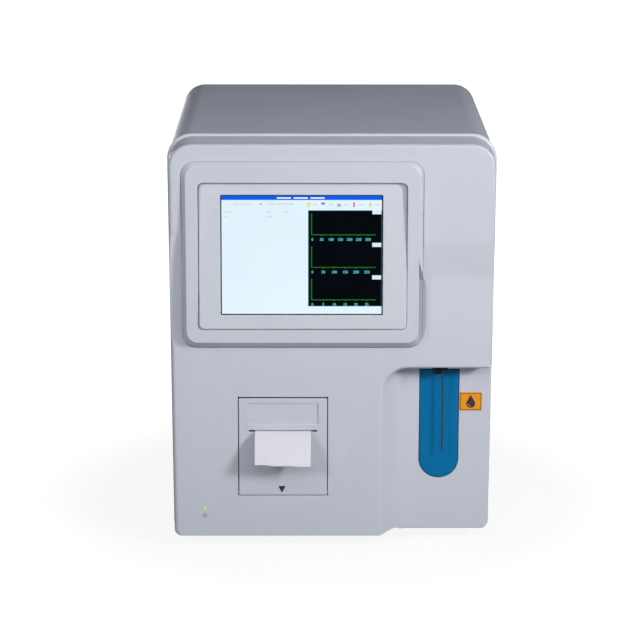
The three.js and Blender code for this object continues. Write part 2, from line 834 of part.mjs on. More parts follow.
function printerTray() {
  const front = [trayFront, trayFront + trayWall];
  const ears = block([trayX[0] - trayEar, trayX[1] + trayEar], front, [trayZ[0] + overrun, trayZ[1]]);
  const outside = block(trayX, [trayFront, trayDepth], trayZ);
  const inside = block(
    trayInside,
    [trayFront - overrun, trayDepth - trayWall],
    [trayZ[0] + trayWall, trayZ[1] - trayWall],
  );
  const shelfY = [mechanismFront, mechanismFront + shelfDepth];
  const shelf = block(trayX, shelfY, [shelfTop - trayWall, shelfTop]);
  const notch = rod("x", spindleRadius - spindleEnd + fit, [trayX[0], trayX[1]], [rollY, rollZ]);
  const tray = joined(cut(joined(outside, ears), inside), shelf);
  piece("printer_tray", cut(tray, notch), darkPlastic);
  const core = rod("x", spindleRadius, [paperX[0] - gearGap, paperX[1] + gearGap], [rollY, rollZ]);
  const ends = rod("x", spindleRadius - spindleEnd, [trayX[0], trayX[1]], [rollY, rollZ]);
  piece("roll_spindle", joined(core, ends), greyPlastic);
}

const platenZ = paperTop + fit + platenRadius;
const gearCentre = ((platenTeeth + pinionTeeth) * gearModule) / 2;
const motorTurn = THREE.MathUtils.degToRad(motorSlope);
const motorY = platenForward + gearCentre * Math.cos(motorTurn);
const motorZ = platenZ + gearCentre * Math.sin(motorTurn);

function printMechanism() {
  const span = [mechanismFront, mechanismBack];
  const feetZ = [shelfTop + fit, shelfTop + fit + sheet];
  const cheekZ = [feetZ[0], feetZ[0] + mechanismHeight];
  const left = [cheekX[0] - sheet, cheekX[0]];
  const right = [cheekX[1] - sheet, cheekX[1]];
  const crossbar = [cheekX[0] - sheet, cheekX[1]];
  const frame = joined(
    block(crossbar, [mechanismFront, mechanismFront + shelfDepth], feetZ),
    block(left, span, cheekZ),
    block(right, span, cheekZ),
  );
  const through = [crossbar[0] - overrun, crossbar[1] + overrun];
  const axleHole = rod("x", platenShaft + fit, through, [platenForward, platenZ], fineSides);
  const motorSide = [right[0] - overrun, right[1] + overrun];
  const motorHole = rod("x", platenShaft + fit, motorSide, [motorY, motorZ], fineSides);
  const headZ = [paperBottom - fit - headHeight, paperBottom - fit];
  const seat = block(paperX, [headFront + sheet, headBack], [feetZ[1] - fit, headZ[1] - sheet]);
  const head = block(paperX, [headFront, headBack], [headZ[1] - sheet, headZ[1]]);
  piece("print_mechanism", joined(cut(frame, axleHole, motorHole), seat, head), zinc);
}

// A spur gear's outline in Y and Z, with teeth cut slim for backlash
function gearPoints(teeth, centreY, centreZ, phase) {
  const pitch = (teeth * gearModule) / 2;
  const radii = gearRingShares.map((share) => pitch + share * gearModule);
  const points = [];
  for (let tooth = 0; tooth < teeth; tooth += 1) {
    gearToothShares.forEach(([share, ring]) => {
      const turn = ((tooth + share + phase) * 2 * Math.PI) / teeth;
      points.push([centreY + radii[ring] * Math.cos(turn), centreZ + radii[ring] * Math.sin(turn)]);
    });
  }
  return points;
}

function printDrive() {
  const gearX = [cheekX[1] + gearGap, cheekX[1] + gearGap + gearWidth];
  const roller = rod("x", platenRadius, [paperX[0], paperX[1]], [platenForward, platenZ]);
  const axleX = [cheekX[0] - sheet - gearGap, gearX[1]];
  const axle = rod("x", platenShaft, axleX, [platenForward, platenZ], fineSides);
  piece("platen_roller", joined(roller, axle), rubber);
  const meshShare = (motorTurn * platenTeeth) / (2 * Math.PI);
  const gear = profile(gearPoints(platenTeeth, platenForward, platenZ, meshShare), gearX);
  const boreX = [gearX[0] - overrun, gearX[1] + overrun];
  const bore = rod("x", platenShaft + fit, boreX, [platenForward, platenZ], fineSides);
  piece("platen_gear", cut(gear, bore), greyPlastic);
  const facing = ((motorTurn + Math.PI) * pinionTeeth) / (2 * Math.PI);
  const pinion = profile(gearPoints(pinionTeeth, motorY, motorZ, facing + 1 / 2), gearX);
  const shaft = rod("x", platenShaft, [cheekX[1] - sheet - fit, gearX[1]], [motorY, motorZ], fineSides);
  piece("motor_pinion", joined(pinion, shaft), brass);
  const motorEnd = cheekX[1] - sheet - 2 * fit;
  const motor = rod("x", motorRadius, [motorEnd - motorLength, motorEnd], [motorY, motorZ]);
  piece("print_motor", motor, zinc);
}

// Sample station

function aspirateKey() {
  const front = recessDepth - keyProud;
  const back = front + keyThickness;
  const bracketY = [recessPanelBack + keyBracketDepth, recessPanelBack + keyBracketDepth + sheet];
  const middle = (keyLeft + keyRight) / 2;
  const pegs = [-1, 1].map((side) => {
    const height = (level(keyBottom) + level(keyTop)) / 2 + side * keyPegRise;
    const bar = rod("y", keyPegRadius, [back - fit, bracketY[1] + fit], [middle, height], fineSides);
    return { height, bar };
  });
  const plateAndPegs = joined(slab(keyShape(0), [front, back]), ...pegs.map((peg) => peg.bar));
  piece("aspirate_key", plateAndPegs, keyPlastic);
  const bracketZ = [pegs[0].height - 4 * keyPegRadius, pegs[1].height + 4 * keyPegRadius];
  const [x0, x1] = [keyLeft - keyBracketMargin, keyRight + keyBracketMargin];
  const legsY = [recessPanelBack + fit, bracketY[1]];
  const plate = joined(
    block([x0, x1], bracketY, bracketZ),
    block([x0, x0 + sheet], legsY, bracketZ),
    block([x1 - sheet, x1], legsY, bracketZ),
  );
  const through = [bracketY[0] - overrun, bracketY[1] + overrun];
  const holes = pegs.map((peg) =>
    rod("y", keyPegRadius + fit, through, [middle, peg.height], fineSides));
  const switchZ = (level(keyBottom) + level(keyTop)) / 2;
  const plungerHole = rod("y", switchPlunger + fit, through, [middle, switchZ], fineSides);
  piece("key_bracket", cut(plate, ...holes, plungerHole), zinc);
  const body = block(
    [middle - switchWidth / 2, middle + switchWidth / 2],
    [bracketY[1] + fit, bracketY[1] + fit + switchDepth],
    [switchZ - switchHeight / 2, switchZ + switchHeight / 2],
  );
  const plungerY = [back + keyTravel + 2 * fit, bracketY[1] + 2 * fit];
  const plunger = rod("y", switchPlunger, plungerY, [middle, switchZ], fineSides);
  piece("aspirate_switch", joined(body, plunger), darkPlastic);
}

const liftX = [needleX - liftWidth / 2, needleX + liftWidth / 2];
const carriageBottom = level(liftShelf) + sheet + carriageRise;
const carriageTop = carriageBottom + carriageHeight;
const beltY = [liftBack - sheet - beltWidth - fit * 3, liftBack - sheet - fit * 3];
const lowPulley = level(liftShelf) + sheet + pulleyMargin;
const highPulley = level(liftTop) - pulleyMargin;

function probeLift() {
  const backZ = [basePlateTop + fit, level(liftTop) + sheet];
  const back = block(liftX, [liftBack - sheet, liftBack], backZ);
  const shelf = block(liftX, [liftFront, liftBack], [level(liftShelf), level(liftShelf) + sheet]);
  const roof = block(liftX, [liftFront, liftBack], [level(liftTop), level(liftTop) + sheet]);
  const floor = basePlateTop + fit;
  const toe = block(liftX, [liftBack - sheet, liftBack + liftToe], [floor, floor + sheet]);
  const shaftY = [liftBack - 2 * sheet, liftBack + overrun];
  const shaftHole = rod("y", beltShaft + fit, shaftY, [needleX, highPulley], fineSides);
  const pinY = [beltY[0] - fit, liftBack - sheet + fit];
  const idlerPin = rod("y", beltShaft, pinY, [needleX, lowPulley], fineSides);
  piece("probe_lift_frame", cut(joined(back, shelf, roof, toe, idlerPin), shaftHole), zinc);
  [["left", -1], ["right", 1]].forEach(([side, way]) => {
    const x = needleX + way * rodSpread;
    const span = [level(liftShelf) + sheet + fit, level(liftTop) - fit];
    piece(`guide_rod_${side}`, rod("z", rodRadius, span, [x, rodY]), steel);
  });
  const washZ = [level(washNose) - overrun, level(washTop) + overrun];
  const washer = rod("z", washBore, washZ, [needleX, needleY], fineSides);
  piece("wash_block", cut(washBlock(0), washer), darkPlastic);
}

function probeCarriage() {
  const carriage = block(
    [needleX - carriageWidth / 2, needleX + carriageWidth / 2],
    [rodY - carriageDepth / 2, rodY + carriageDepth / 2],
    [carriageBottom, carriageTop],
  );
  const arm = block(
    [needleX - armWidth / 2, needleX + armWidth / 2],
    [needleY - armWidth / 4, rodY],
    [carriageBottom, carriageBottom + armHeight],
  );
  const boreZ = [carriageBottom - overrun, carriageTop + overrun];
  const bores = [-1, 1].map((side) =>
    rod("z", rodRadius + fit, boreZ, [needleX + side * rodSpread, rodY]));
  const at = [needleX, needleY];
  const armTop = carriageBottom + armHeight;
  const needleHole = rod("z", needleRadius + fit, [carriageBottom - overrun, carriageTop], at, fineSides);
  piece("probe_carriage", cut(joined(carriage, arm), ...bores, needleHole), greyPlastic);
  const shank = rod("z", needleRadius, [needleBottom, armTop + collarHeight], at, fineSides);
  const collar = rod("z", collarRadius, [armTop + fit, armTop + collarHeight], at, fineSides);
  piece("sample_needle", joined(shank, collar), steel);
}

function beltLoop(radius) {
  const shape = new THREE.Shape();
  shape.moveTo(needleX + radius, lowPulley);
  shape.lineTo(needleX + radius, highPulley);
  shape.absarc(needleX, highPulley, radius, 0, Math.PI, false);
  shape.lineTo(needleX - radius, lowPulley);
  shape.absarc(needleX, lowPulley, radius, Math.PI, 2 * Math.PI, false);
  return shape;
}

function probeDrive() {
  const outer = slab(beltLoop(pulleyRadius + fit + beltThickness), beltY);
  const inner = slab(beltLoop(pulleyRadius + fit), [beltY[0] - overrun, beltY[1] + overrun]);
  piece("lift_belt", cut(outer, inner), rubber);
  const shaftEnd = liftBack + fit;
  const drive = joined(
    rod("y", pulleyRadius, beltY, [needleX, highPulley]),
    rod("y", beltShaft, [beltY[0], shaftEnd], [needleX, highPulley], fineSides),
  );
  piece("drive_pulley", drive, zinc);
  const low = [needleX, lowPulley];
  const through = [beltY[0] - overrun, beltY[1] + overrun];
  const idlerBore = rod("y", beltShaft + fit, through, low, fineSides);
  piece("idler_pulley", cut(rod("y", pulleyRadius, beltY, low), idlerBore), zinc);
  const half = liftMotorSize / 2;
  const motor = block(
    [needleX - half, needleX + half],
    [liftBack + 2 * fit, liftBack + 2 * fit + liftMotorDepth],
    [highPulley - half, highPulley + half],
  );
  piece("lift_motor", motor, darkPlastic);
}

// Fluid bench

function fluidBench() {
  const floor = basePlateTop + fit;
  const plateX = [benchX, benchX + sheet];
  const wall = block(plateX, [benchNear, benchFar], [floor, level(bathLevel)]);
  const toe = block([benchX - overrun * 4, benchX + sheet], [benchNear, benchFar], [floor, floor + sheet]);
  const shelfZ = [level(bathLevel), level(bathLevel) + sheet];
  const shelf = block([benchX, bathX + bathRadius + overrun], [benchNear, benchFar], shelfZ);
  const holes = [bathNear, bathFar].map((y) =>
    rod("z", bathRadius + fit, [shelfZ[0] - overrun, shelfZ[1] + overrun], [bathX, y]));
  piece("bath_bench", cut(joined(wall, toe, shelf), ...holes), zinc);
  const lip = shelfZ[1] + fit;
  const rimRadius = bathRadius + sheet;
  const bath = [
    [0, -bathHeight], [bathRadius / 4, -bathHeight], [bathRadius, bathCone - bathHeight],
    [bathRadius, 0], [rimRadius, 0], [rimRadius, sheet], [bathBore, sheet],
    [bathBore, bathCone - bathHeight], [0, sheet * 2 - bathHeight],
  ];
  piece("white_cell_bath", turned(bath, [bathX, bathNear, lip]), clearPlastic);
  piece("red_cell_bath", turned(bath, [bathX, bathFar, lip]), clearPlastic);
}

function syringeUnit() {
  const floor = basePlateTop + fit;
  const standX = [syringeX - syringeStandWidth / 2, syringeX + syringeStandWidth / 2];
  const plateY = [syringeY + syringeRadius + sheet, syringeY + syringeRadius + 2 * sheet];
  const top = level(syringeLevel) + syringeLength + sheet;
  const front = syringeY - syringeRadius - sheet;
  const shelfTop = level(syringeLevel) - fit;
  const stand = profile([
    [front, floor], [plateY[1], floor], [plateY[1], top], [plateY[0], top], [plateY[0], shelfTop],
    [front, shelfTop], [front, shelfTop - sheet], [plateY[0], shelfTop - sheet],
    [plateY[0], floor + sheet], [front, floor + sheet],
  ], standX);
  const holeZ = [level(syringeLevel) - 2 * sheet, level(syringeLevel)];
  piece("syringe_stand", cut(stand, rod("z", syringeBore + fit, holeZ, [syringeX, syringeY])), zinc);
  const at = [syringeX, syringeY];
  const [low, high] = [level(syringeLevel), level(syringeLevel) + syringeLength];
  const barrel = cut(
    rod("z", syringeRadius, [low, high], at),
    rod("z", syringeBore, [low - overrun, high - overrun], at),
  );
  piece("syringe_barrel", barrel, clearPlastic);
  const crown = high - overrun - syringeTravel - sheet;
  const foot = low - syringeTravel - overrun;
  const plunger = joined(
    rod("z", syringeBore - fit, [crown - syringeRadius, crown], at),
    rod("z", syringeBore / 2, [foot, crown - fit], at, fineSides),
    rod("z", syringeBore, [foot - overrun, foot], at),
  );
  piece("syringe_plunger", plunger, steel);
}

function pump() {
  const floor = basePlateTop + fit;
  const centre = floor + pumpHeight / 2 + sheet;
  const half = pumpHeight / 2;
  const bodyX = [pumpX - half, pumpX + half];
  const headY = [pumpY - pumpHeadDepth, pumpY];
  const stand = block(bodyX, headY, [floor, floor + pumpHeight]);
  const chamber = rod("y", pumpRadius, [headY[0] - overrun, headY[1] - sheet], [pumpX, centre], roundSides);
  const shaftHole = rod("y", beltShaft + fit, [headY[0], headY[1] + overrun], [pumpX, centre], fineSides);
  const motorX = [pumpX - pumpRadius, pumpX + pumpRadius];
  const motor = block(motorX, [pumpY - fit, pumpY + pumpDepth], [floor, centre + pumpRadius]);
  piece("pump_body", cut(joined(stand, motor), chamber, shaftHole), greyPlastic);
  const reach = pumpRadius - pumpRollerRadius - gearGap;
  const rotorY = [headY[0], headY[1] - sheet - fit];
  const hub = rod("y", pumpRadius / 2, rotorY, [pumpX, centre], fineSides);
  const shaft = rod("y", beltShaft, [headY[0], pumpY + overrun - fit], [pumpX, centre], fineSides);
  const rollers = [0, 1, 2].map((i) => {
    const turn = (i * 2 * Math.PI) / 3;
    const at = [pumpX + reach * Math.cos(turn), centre + reach * Math.sin(turn)];
    return rod("y", pumpRollerRadius, rotorY, at, fineSides);
  });
  const disc = rod("y", reach, [rotorY[1] - sheet, rotorY[1]], [pumpX, centre]);
  piece("pump_rotor", joined(hub, shaft, disc, ...rollers), steel);
}

function valveBank() {
  const floor = basePlateTop + fit;
  const valveY = [rearFace - sheet - fit - valveLength * 2, rearFace - sheet - fit - valveLength];
  const baseX = [valveX - valveWidth / 2, valveX + valveWidth / 2];
  const base = block(baseX, valveY, [floor, floor + valveHeight / 2]);
  const pitch = valveLength / valveCount;
  const coilZ = [floor + valveHeight / 3, floor + valveHeight];
  const coils = Array.from({ length: valveCount }, (_, i) =>
    rod("z", valveWidth / 3, coilZ, [valveX, valveY[0] + pitch * (i + 1 / 2)], fineSides));
  piece("valve_bank", joined(base, ...coils), darkPlastic);
}

// Electronics

function electronics() {
  const boardZ = basePlateTop + standoffHeight + fit;
  const mainBoard = block(
    [-mainBoardLeft, -mainBoardRight],
    [mainBoardFront, mainBoardBack],
    [boardZ, boardZ + boardThickness],
  );
  piece("main_board", mainBoard, board);
  const supplyX = [-mainBoardLeft, -mainBoardLeft + supplyWidth];
  const floor = basePlateTop + fit;
  const supply = block(supplyX, [supplyBack - supplyDepth, supplyBack], [floor, floor + supplyHeight]);
  piece("power_supply", supply, zinc);
}

// Rear panel and its fittings

const panelY = [rearFace - sheet, rearFace];
const inletMiddle = -inletX;
const rockerMiddle = -powerSwitchX;

function rearPanel() {
  const inset = coverStep + sheet + fit;
  const outline = caseOutline(inset, inset, sheet + fit, rimCorner - inset, fit);
  const through = [panelY[0] - overrun, panelY[1] + overrun];
  const slotPitch = (2 * fanBore) / ventSlots;
  const vents = Array.from({ length: ventSlots }, (_, i) => {
    const offset = (i - (ventSlots - 1) / 2) * slotPitch;
    const reach = Math.sqrt(fanBore ** 2 - offset ** 2) - sheet;
    const z = level(fanHeight) + offset;
    return block([-fanX - reach, -fanX + reach], through, [z - ventSlotHeight / 2, z + ventSlotHeight / 2]);
  });
  const socket = block(
    [inletMiddle - inletWidth / 2 - fit, inletMiddle + inletWidth / 2 + fit], through,
    [level(inletHeight) - inletTall / 2 - fit, level(inletHeight) + inletTall / 2 + fit],
  );
  const rockerAround = inletWall + fit;
  const rocker = block(
    [rockerMiddle - rockerWidth / 2 - rockerAround, rockerMiddle + rockerWidth / 2 + rockerAround],
    through,
    [level(inletHeight) - rockerTall / 2 - rockerAround, level(inletHeight) + rockerTall / 2 + rockerAround],
  );
  piece("rear_panel", cut(slab(shapeOf(outline), panelY), ...vents, socket, rocker), coverPaint);
}

function fan() {
  const back = panelY[0] - fit;
  const front = back - fanDepth;
  const half = fanSize / 2;
  const middle = [-fanX, level(fanHeight)];
  const [x, z] = middle;
  const frame = block([x - half, x + half], [front, back], [z - half, z + half]);
  const bore = rod("y", fanBore, [front - overrun, back + overrun], middle, roundSides * 2);
  const web = [front, front + fanWeb];
  const hubDisc = rod("y", fanHub, web, middle);
  const axle = rod("y", fanAxle, [front, back - 2 * fanWeb], middle, fineSides);
  const reach = half - fit;
  const across = block([x - reach, x + reach], web, [z - fanSpoke / 2, z + fanSpoke / 2]);
  const upright = block([x - fanSpoke / 2, x + fanSpoke / 2], web, [z - reach, z + reach]);
  piece("fan_frame", joined(cut(frame, bore), hubDisc, axle, across, upright), darkPlastic);
  const rotorY = [front + fanWeb + fit, back - fanWeb];
  const hub = rod("y", fanHub, rotorY, middle);
  const bladeReach = fanBore - gearGap - fanHub / 2;
  const blades = Array.from({ length: fanBlades }, (_, i) => {
    const blade = new THREE.BoxGeometry(bladeReach, bladeThickness, bladeWidth);
    blade.rotateX(THREE.MathUtils.degToRad(90 - bladePitch));
    blade.translate(fanHub / 2 + bladeReach / 2, (rotorY[0] + rotorY[1]) / 2, 0);
    blade.rotateY((-i * 2 * Math.PI) / fanBlades);
    return solid(blade.translate(middle[0], 0, middle[1]));
  });
  const axleRoom = [rotorY[0] - overrun, back - 2 * fanWeb + fit];
  const axleHole = rod("y", fanAxle + fit, axleRoom, middle, fineSides);
  piece("fan_rotor", cut(joined(hub, ...blades), axleHole), darkPlastic);
}

function powerInlet() {
  const [y0, y1] = [panelY[0] - inletDepth, panelY[1] + fit + sheet];
  const half = [inletWidth / 2, inletTall / 2];
  const centre = level(inletHeight);
  const body = block(
    [inletMiddle - half[0], inletMiddle + half[0]], [y0, y1], [centre - half[1], centre + half[1]]);
  const wings = block(
    [inletMiddle - half[0] - inletFlange, inletMiddle + half[0] + inletFlange],
    [panelY[1] + fit, y1], [centre - half[1] - sheet, centre + half[1] + sheet],
  );
  const cavity = block(
    [inletMiddle - half[0] + inletWall, inletMiddle + half[0] - inletWall],
    [y0 + inletWall, y1 + overrun], [centre - half[1] + inletWall, centre + half[1] - inletWall],
  );
  const pitch = half[0] / 2;
  const pins = [-1, 0, 1].map((place) => {
    const x = inletMiddle + place * pitch;
    const z = centre + (place ? -inletPinWidth : inletPinWidth) / 2;
    return block(
      [x - inletPinThick / 2, x + inletPinThick / 2],
      [y0 + fit, panelY[1] - fit],
      [z - inletPinWidth / 2, z + inletPinWidth / 2],
    );
  });
  return joined(cut(joined(body, wings), cavity), ...pins);
}

const rockerPivotY = rearFace - sheet * 2;

function powerEntry() {
  const centre = level(inletHeight);
  const [wide, tall] = [rockerWidth / 2 + inletWall, rockerTall / 2 + inletWall];
  const rim = block(
    [rockerMiddle - wide - sheet, rockerMiddle + wide + sheet], [panelY[1] + fit, panelY[1] + fit + sheet],
    [centre - tall - sheet, centre + tall + sheet],
  );
  const body = block(
    [rockerMiddle - wide, rockerMiddle + wide],
    [panelY[0] - inletDepth, panelY[1] + fit + sheet],
    [centre - tall, centre + tall],
  );
  const room = block(
    [rockerMiddle - rockerWidth / 2, rockerMiddle + rockerWidth / 2],
    [panelY[0] - inletDepth + inletWall, panelY[1] + 2 * overrun],
    [centre - rockerTall / 2, centre + rockerTall / 2],
  );
  const bridge = block(
    [inletMiddle + inletWidth / 2, rockerMiddle - wide],
    [panelY[1] + fit, panelY[1] + fit + sheet],
    [centre - tall / 2, centre + tall / 2],
  );
  const housing = joined(powerInlet(), bridge, cut(joined(rim, body), room));
  piece("power_entry", housing, darkPlastic);
  const pivot = new THREE.Group();
  pivot.position.set(rockerMiddle, rockerPivotY, centre);
  pivot.rotation.x = THREE.MathUtils.degToRad(-rockerTilt);
  analyzer.add(pivot);
  const front = panelY[1] + fit + 2 * sheet - rockerPivotY;
  const half = rockerTall / 2 - 4 * fit;
  const dish = half * Math.tan(THREE.MathUtils.degToRad(rockerTilt));
  const points = [
    [-2 * sheet, -half / 2], [front - dish * 2, -half], [front, -half], [front - dish, 0],
    [front, half], [front - dish * 2, half], [-2 * sheet, half / 2],
  ];
  const rocker = profile(points, [fit - rockerWidth / 2, rockerWidth / 2 - fit]);
  piece("power_rocker", rocker, darkPlastic, pivot);
}

function rearPlates() {
  const face = panelY[1] + fit;
  const fluid = block(
    [fluidPlateX - fluidPlateWidth / 2, fluidPlateX + fluidPlateWidth / 2], [face, face + sheet],
    [level(fluidPlateHeight) - fluidPlateTall / 2, level(fluidPlateHeight) + fluidPlateTall / 2],
  );
  const pitch = fluidPlateTall / fluidBarbs;
  const barbY = caseDepth - face - fit;
  const barbs = Array.from({ length: fluidBarbs }, (_, i) => {
    const z = level(fluidPlateHeight) - fluidPlateTall / 2 + pitch * (i + 1 / 2);
    return joined(
      rod("y", barbRadius * 2, [face, face + sheet + barbY / 2], [fluidPlateX, z], fineSides),
      rod("y", barbRadius, [face, face + barbLength], [fluidPlateX, z], fineSides),
    );
  });
  piece("fluid_ports", joined(fluid, ...barbs), steel);
  const ports = block(
    [portPlateX - portPlateWidth / 2, portPlateX + portPlateWidth / 2], [face, face + sheet],
    [level(portPlateHeight) - portPlateTall / 2, level(portPlateHeight) + portPlateTall / 2],
  );
  const portPitch = portPlateTall / portCount;
  const sockets = Array.from({ length: portCount }, (_, i) => {
    const z = level(portPlateHeight) - portPlateTall / 2 + portPitch * (i + 1 / 2);
    const wide = (portPlateWidth / 2) * portWideShares[i];
    const tall = portPitch / 4;
    return block([portPlateX - wide, portPlateX + wide], [face, face + sheet * 2], [z - tall, z + tall]);
  });
  piece("data_ports", joined(ports, ...sockets), zinc);
}

// Small fittings on the front

function frontFittings() {
  const led = joined(
    rod("y", ledRadius, [0, ledLength], [-ledX, level(ledHeight)], fineSides),
    rod("y", ledRadius * 2, [shellWall + fit, ledLength], [-ledX, level(ledHeight)], fineSides),
  );
  piece("power_led", led, greenLens);
  const labelBack = recessDepth - fit;
  const labelZ = [level(labelBottom), level(labelTop)];
  const label = block([labelLeft, labelLeft + labelWidth], [labelBack - labelThickness, labelBack], labelZ);
  piece("recess_label", label, orangeFilm);
}

piece("front_shell", frontShell(), shellPlastic);
screenSurround();
tiltedScreen();
topCover();
basePlate();
sideScrews();
feet();
printerDoor();
paperPieces();
printerTray();
printMechanism();
printDrive();
aspirateKey();
probeLift();
probeCarriage();
probeDrive();
fluidBench();
syringeUnit();
pump();
valveBank();
electronics();
rearPanel();
fan();
powerEntry();
rearPlates();
frontFittings();

// The origin is the middle of the footprint, on the table
const extent = new THREE.Box3().setFromObject(analyzer);
const footprint = extent.getCenter(new THREE.Vector3());
analyzer.position.set(-footprint.x, -footprint.y, -extent.min.z);
analyzer.updateMatrixWorld(true);

export default analyzer;
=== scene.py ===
"""Dresses the benchtop hematology analyzer: its mouldings, screen, printer, sample recess and rear.

Shapes are drawn in millimetres: X to the right, Y from the face plane to the back, Z up from the table.
"""
import math

import bmesh
import bpy
from mathutils import Matrix, Vector


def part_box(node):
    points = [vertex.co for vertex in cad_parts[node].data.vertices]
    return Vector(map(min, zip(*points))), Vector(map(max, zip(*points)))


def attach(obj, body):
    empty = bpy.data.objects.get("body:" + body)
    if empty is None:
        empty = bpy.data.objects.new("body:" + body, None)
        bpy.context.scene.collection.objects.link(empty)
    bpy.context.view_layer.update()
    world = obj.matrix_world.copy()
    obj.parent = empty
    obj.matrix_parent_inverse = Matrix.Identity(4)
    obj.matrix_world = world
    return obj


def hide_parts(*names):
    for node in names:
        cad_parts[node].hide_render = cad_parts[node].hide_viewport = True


bl_info = {
    "name": "Hematology Analyzer",
    "version": (1, 0, 0),
    "blender": (4, 5, 0),
    "location": "View3D > Sidebar > Analyzer",
    "description": "Makes the analyzer's visible pieces, finishes and studio",
    "category": "Object",
}

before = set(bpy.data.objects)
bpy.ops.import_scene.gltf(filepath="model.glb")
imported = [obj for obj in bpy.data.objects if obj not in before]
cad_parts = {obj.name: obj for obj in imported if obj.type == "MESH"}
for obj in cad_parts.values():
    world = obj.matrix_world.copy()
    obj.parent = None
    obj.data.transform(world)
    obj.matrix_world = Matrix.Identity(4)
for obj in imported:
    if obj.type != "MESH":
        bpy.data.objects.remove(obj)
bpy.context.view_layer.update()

MM = 0.001
FACE_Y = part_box("front_shell")[0].y
TAU = math.tau


def millimetres(node):
    """The lowest and highest corner of a CAD node, in the drawing's millimetres."""
    low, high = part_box(node)
    return [tuple((Vector(corner) - Vector((0, FACE_Y, 0))) / MM) for corner in (low, high)]


SHELL_LOW, SHELL_HIGH = millimetres("front_shell")
BASE_Z = SHELL_LOW[2]
TOP_Z = SHELL_HIGH[2]
HALF_WIDE = 165.0
SIDE_DRAFT = 2.0

# How far a cutting tool reaches past the casing
CLEAR = 6
# Points nearer than this become one, and the smallest radii of a turned ring and of a corner
MERGE_DISTANCE, POLE_RADIUS, CORNER_RADIUS = 0.0005, 0.002, 0.01


# Colours and settings

def linear(red, green, blue):
    """A colour read off a screen, 0 to 255, as the shader wants it."""
    def channel(value):
        value /= 255
        return value / 12.92 if value <= 0.04045 else ((value + 0.055) / 1.055) ** 2.4
    return tuple(channel(value) for value in (red, green, blue))


def colour(name, description, *rgb):
    return bpy.props.FloatVectorProperty(
        name=name, description=description, subtype="COLOR", size=3, min=0, max=1, default=linear(*rgb))


def length(name, description, value):
    return bpy.props.FloatProperty(
        name=name, description=description, default=value * MM, min=0, unit="LENGTH")


def power(name, description, value):
    return bpy.props.FloatProperty(name=name, description=description, default=value, min=0, unit="POWER")


class AnalyzerCasing(bpy.types.PropertyGroup):
    face: colour("Face", "Colour of the front moulding", 206, 210, 222)
    cover: colour("Cover", "Colour of the folded cover", 202, 206, 222)
    recess_round: length("Recess edge", "Radius of the recess's outer edge", 5)
    recess_blend: length("Recess blend", "Radius where the recess's wall meets its panel", 12)
    lip_round: length("Lip", "Radius of the lip over the recess", 3.0)
    bead: length("Bead", "Height of the bead round the moulding's rear edge", 2.2)


class AnalyzerScreen(bpy.types.PropertyGroup):
    bezel: colour("Bezel", "Colour of the bezel", 208, 213, 223)
    paper_white: colour("Page", "Colour of the lit page", 226, 244, 253)
    title: colour("Title bar", "Colour of the bar over the page", 4, 92, 232)
    plot: colour("Plots", "Colour of the plots' ground", 0, 0, 2)
    glow: bpy.props.FloatProperty(
        name="Glow", description="Strength of the lit screen", default=1.06, min=0, max=5)
    edge_round: length("Edge", "Radius of the bezel's edges", 1.3)


class AnalyzerPrinter(bpy.types.PropertyGroup):
    paper: colour("Paper", "Colour of the thermal paper", 230, 230, 238)
    paper_thickness: length("Paper thickness", "Thickness of the paper", 0.16)
    door_round: length("Door edge", "Radius of the door's edges", 0.7)


class AnalyzerRecess(bpy.types.PropertyGroup):
    key: colour("Key", "Colour of the aspirate key", 0, 112, 168)
    label: colour("Label", "Colour of the label's film", 248, 156, 18)
    key_round: length("Key edge", "Radius of the key's edge", 1.6)


class AnalyzerRear(bpy.types.PropertyGroup):
    guard_wire: length("Guard wire", "Thickness of the fan guard's wire", 1.8)
    guard_rings: bpy.props.IntProperty(
        name="Guard rings", description="Rings in the fan's guard", default=5, min=2, max=12)


class AnalyzerStage(bpy.types.PropertyGroup):
    key_power: power("Key light", "Power of the light at the front right", 16.8)
    fill_power: power("Fill light", "Power of the light at the left", 4.9)
    front_power: power("Front light", "Power of the broad light at the front", 4.1)
    top_power: power("Top light", "Power of the light overhead", 1.5)
    rear_power: power("Rear light", "Power of the low light behind", 12.74)
    surround: bpy.props.FloatProperty(
        name="Surround", description="Strength of the even light all round", default=0.04, min=0)
    lens: bpy.props.FloatProperty(
        name="Lens", description="Focal length of the camera", default=134.3, min=1, unit="CAMERA")


# Outlines and solids

def rounded(corners, radii, steps=10):
    """A polygon in X and Z whose corners are rounded, each by its own radius."""
    points = []
    for i, (x, z) in enumerate(corners):
        corner = Vector((x, z))
        if not radii[i]:
            points.append(corner)
            continue
        before = (Vector(corners[i - 1]) - corner).normalized()
        after = (Vector(corners[(i + 1) % len(corners)]) - corner).normalized()
        half = math.acos(max(-1, min(1, before.dot(after)))) / 2
        centre = corner + (before + after).normalized() * (radii[i] / math.sin(half))
        start = corner + before * (radii[i] / math.tan(half)) - centre
        sweep = math.pi - 2 * half
        if before.cross(after) > 0:
            sweep = -sweep
        for step in range(steps + 1):
            turn = Matrix.Rotation(sweep * step / steps, 2)
            points.append(turn @ start + centre)
    return [(p.x, p.y) for p in points]


def rounded_box(x0, x1, z0, z1, radius, steps=10):
    return rounded([(x0, z0), (x1, z0), (x1, z1), (x0, z1)], [max(radius, CORNER_RADIUS)] * 4, steps)


def case_outline(side, top, foot, top_radius, foot_radius, steps=14):
    """The casing's outline from the front, drawn in by its own amount on each side."""
    wide, narrow = HALF_WIDE - side, HALF_WIDE - SIDE_DRAFT - side
    high, low = TOP_Z - top, BASE_Z + foot
    corners = [(-narrow, low), (narrow, low), (wide, high), (-wide, high)]
    return rounded(corners, [foot_radius, foot_radius, top_radius, top_radius], steps)


def at_depth(outline, y):
    return [(x, y, z) for x, z in outline]


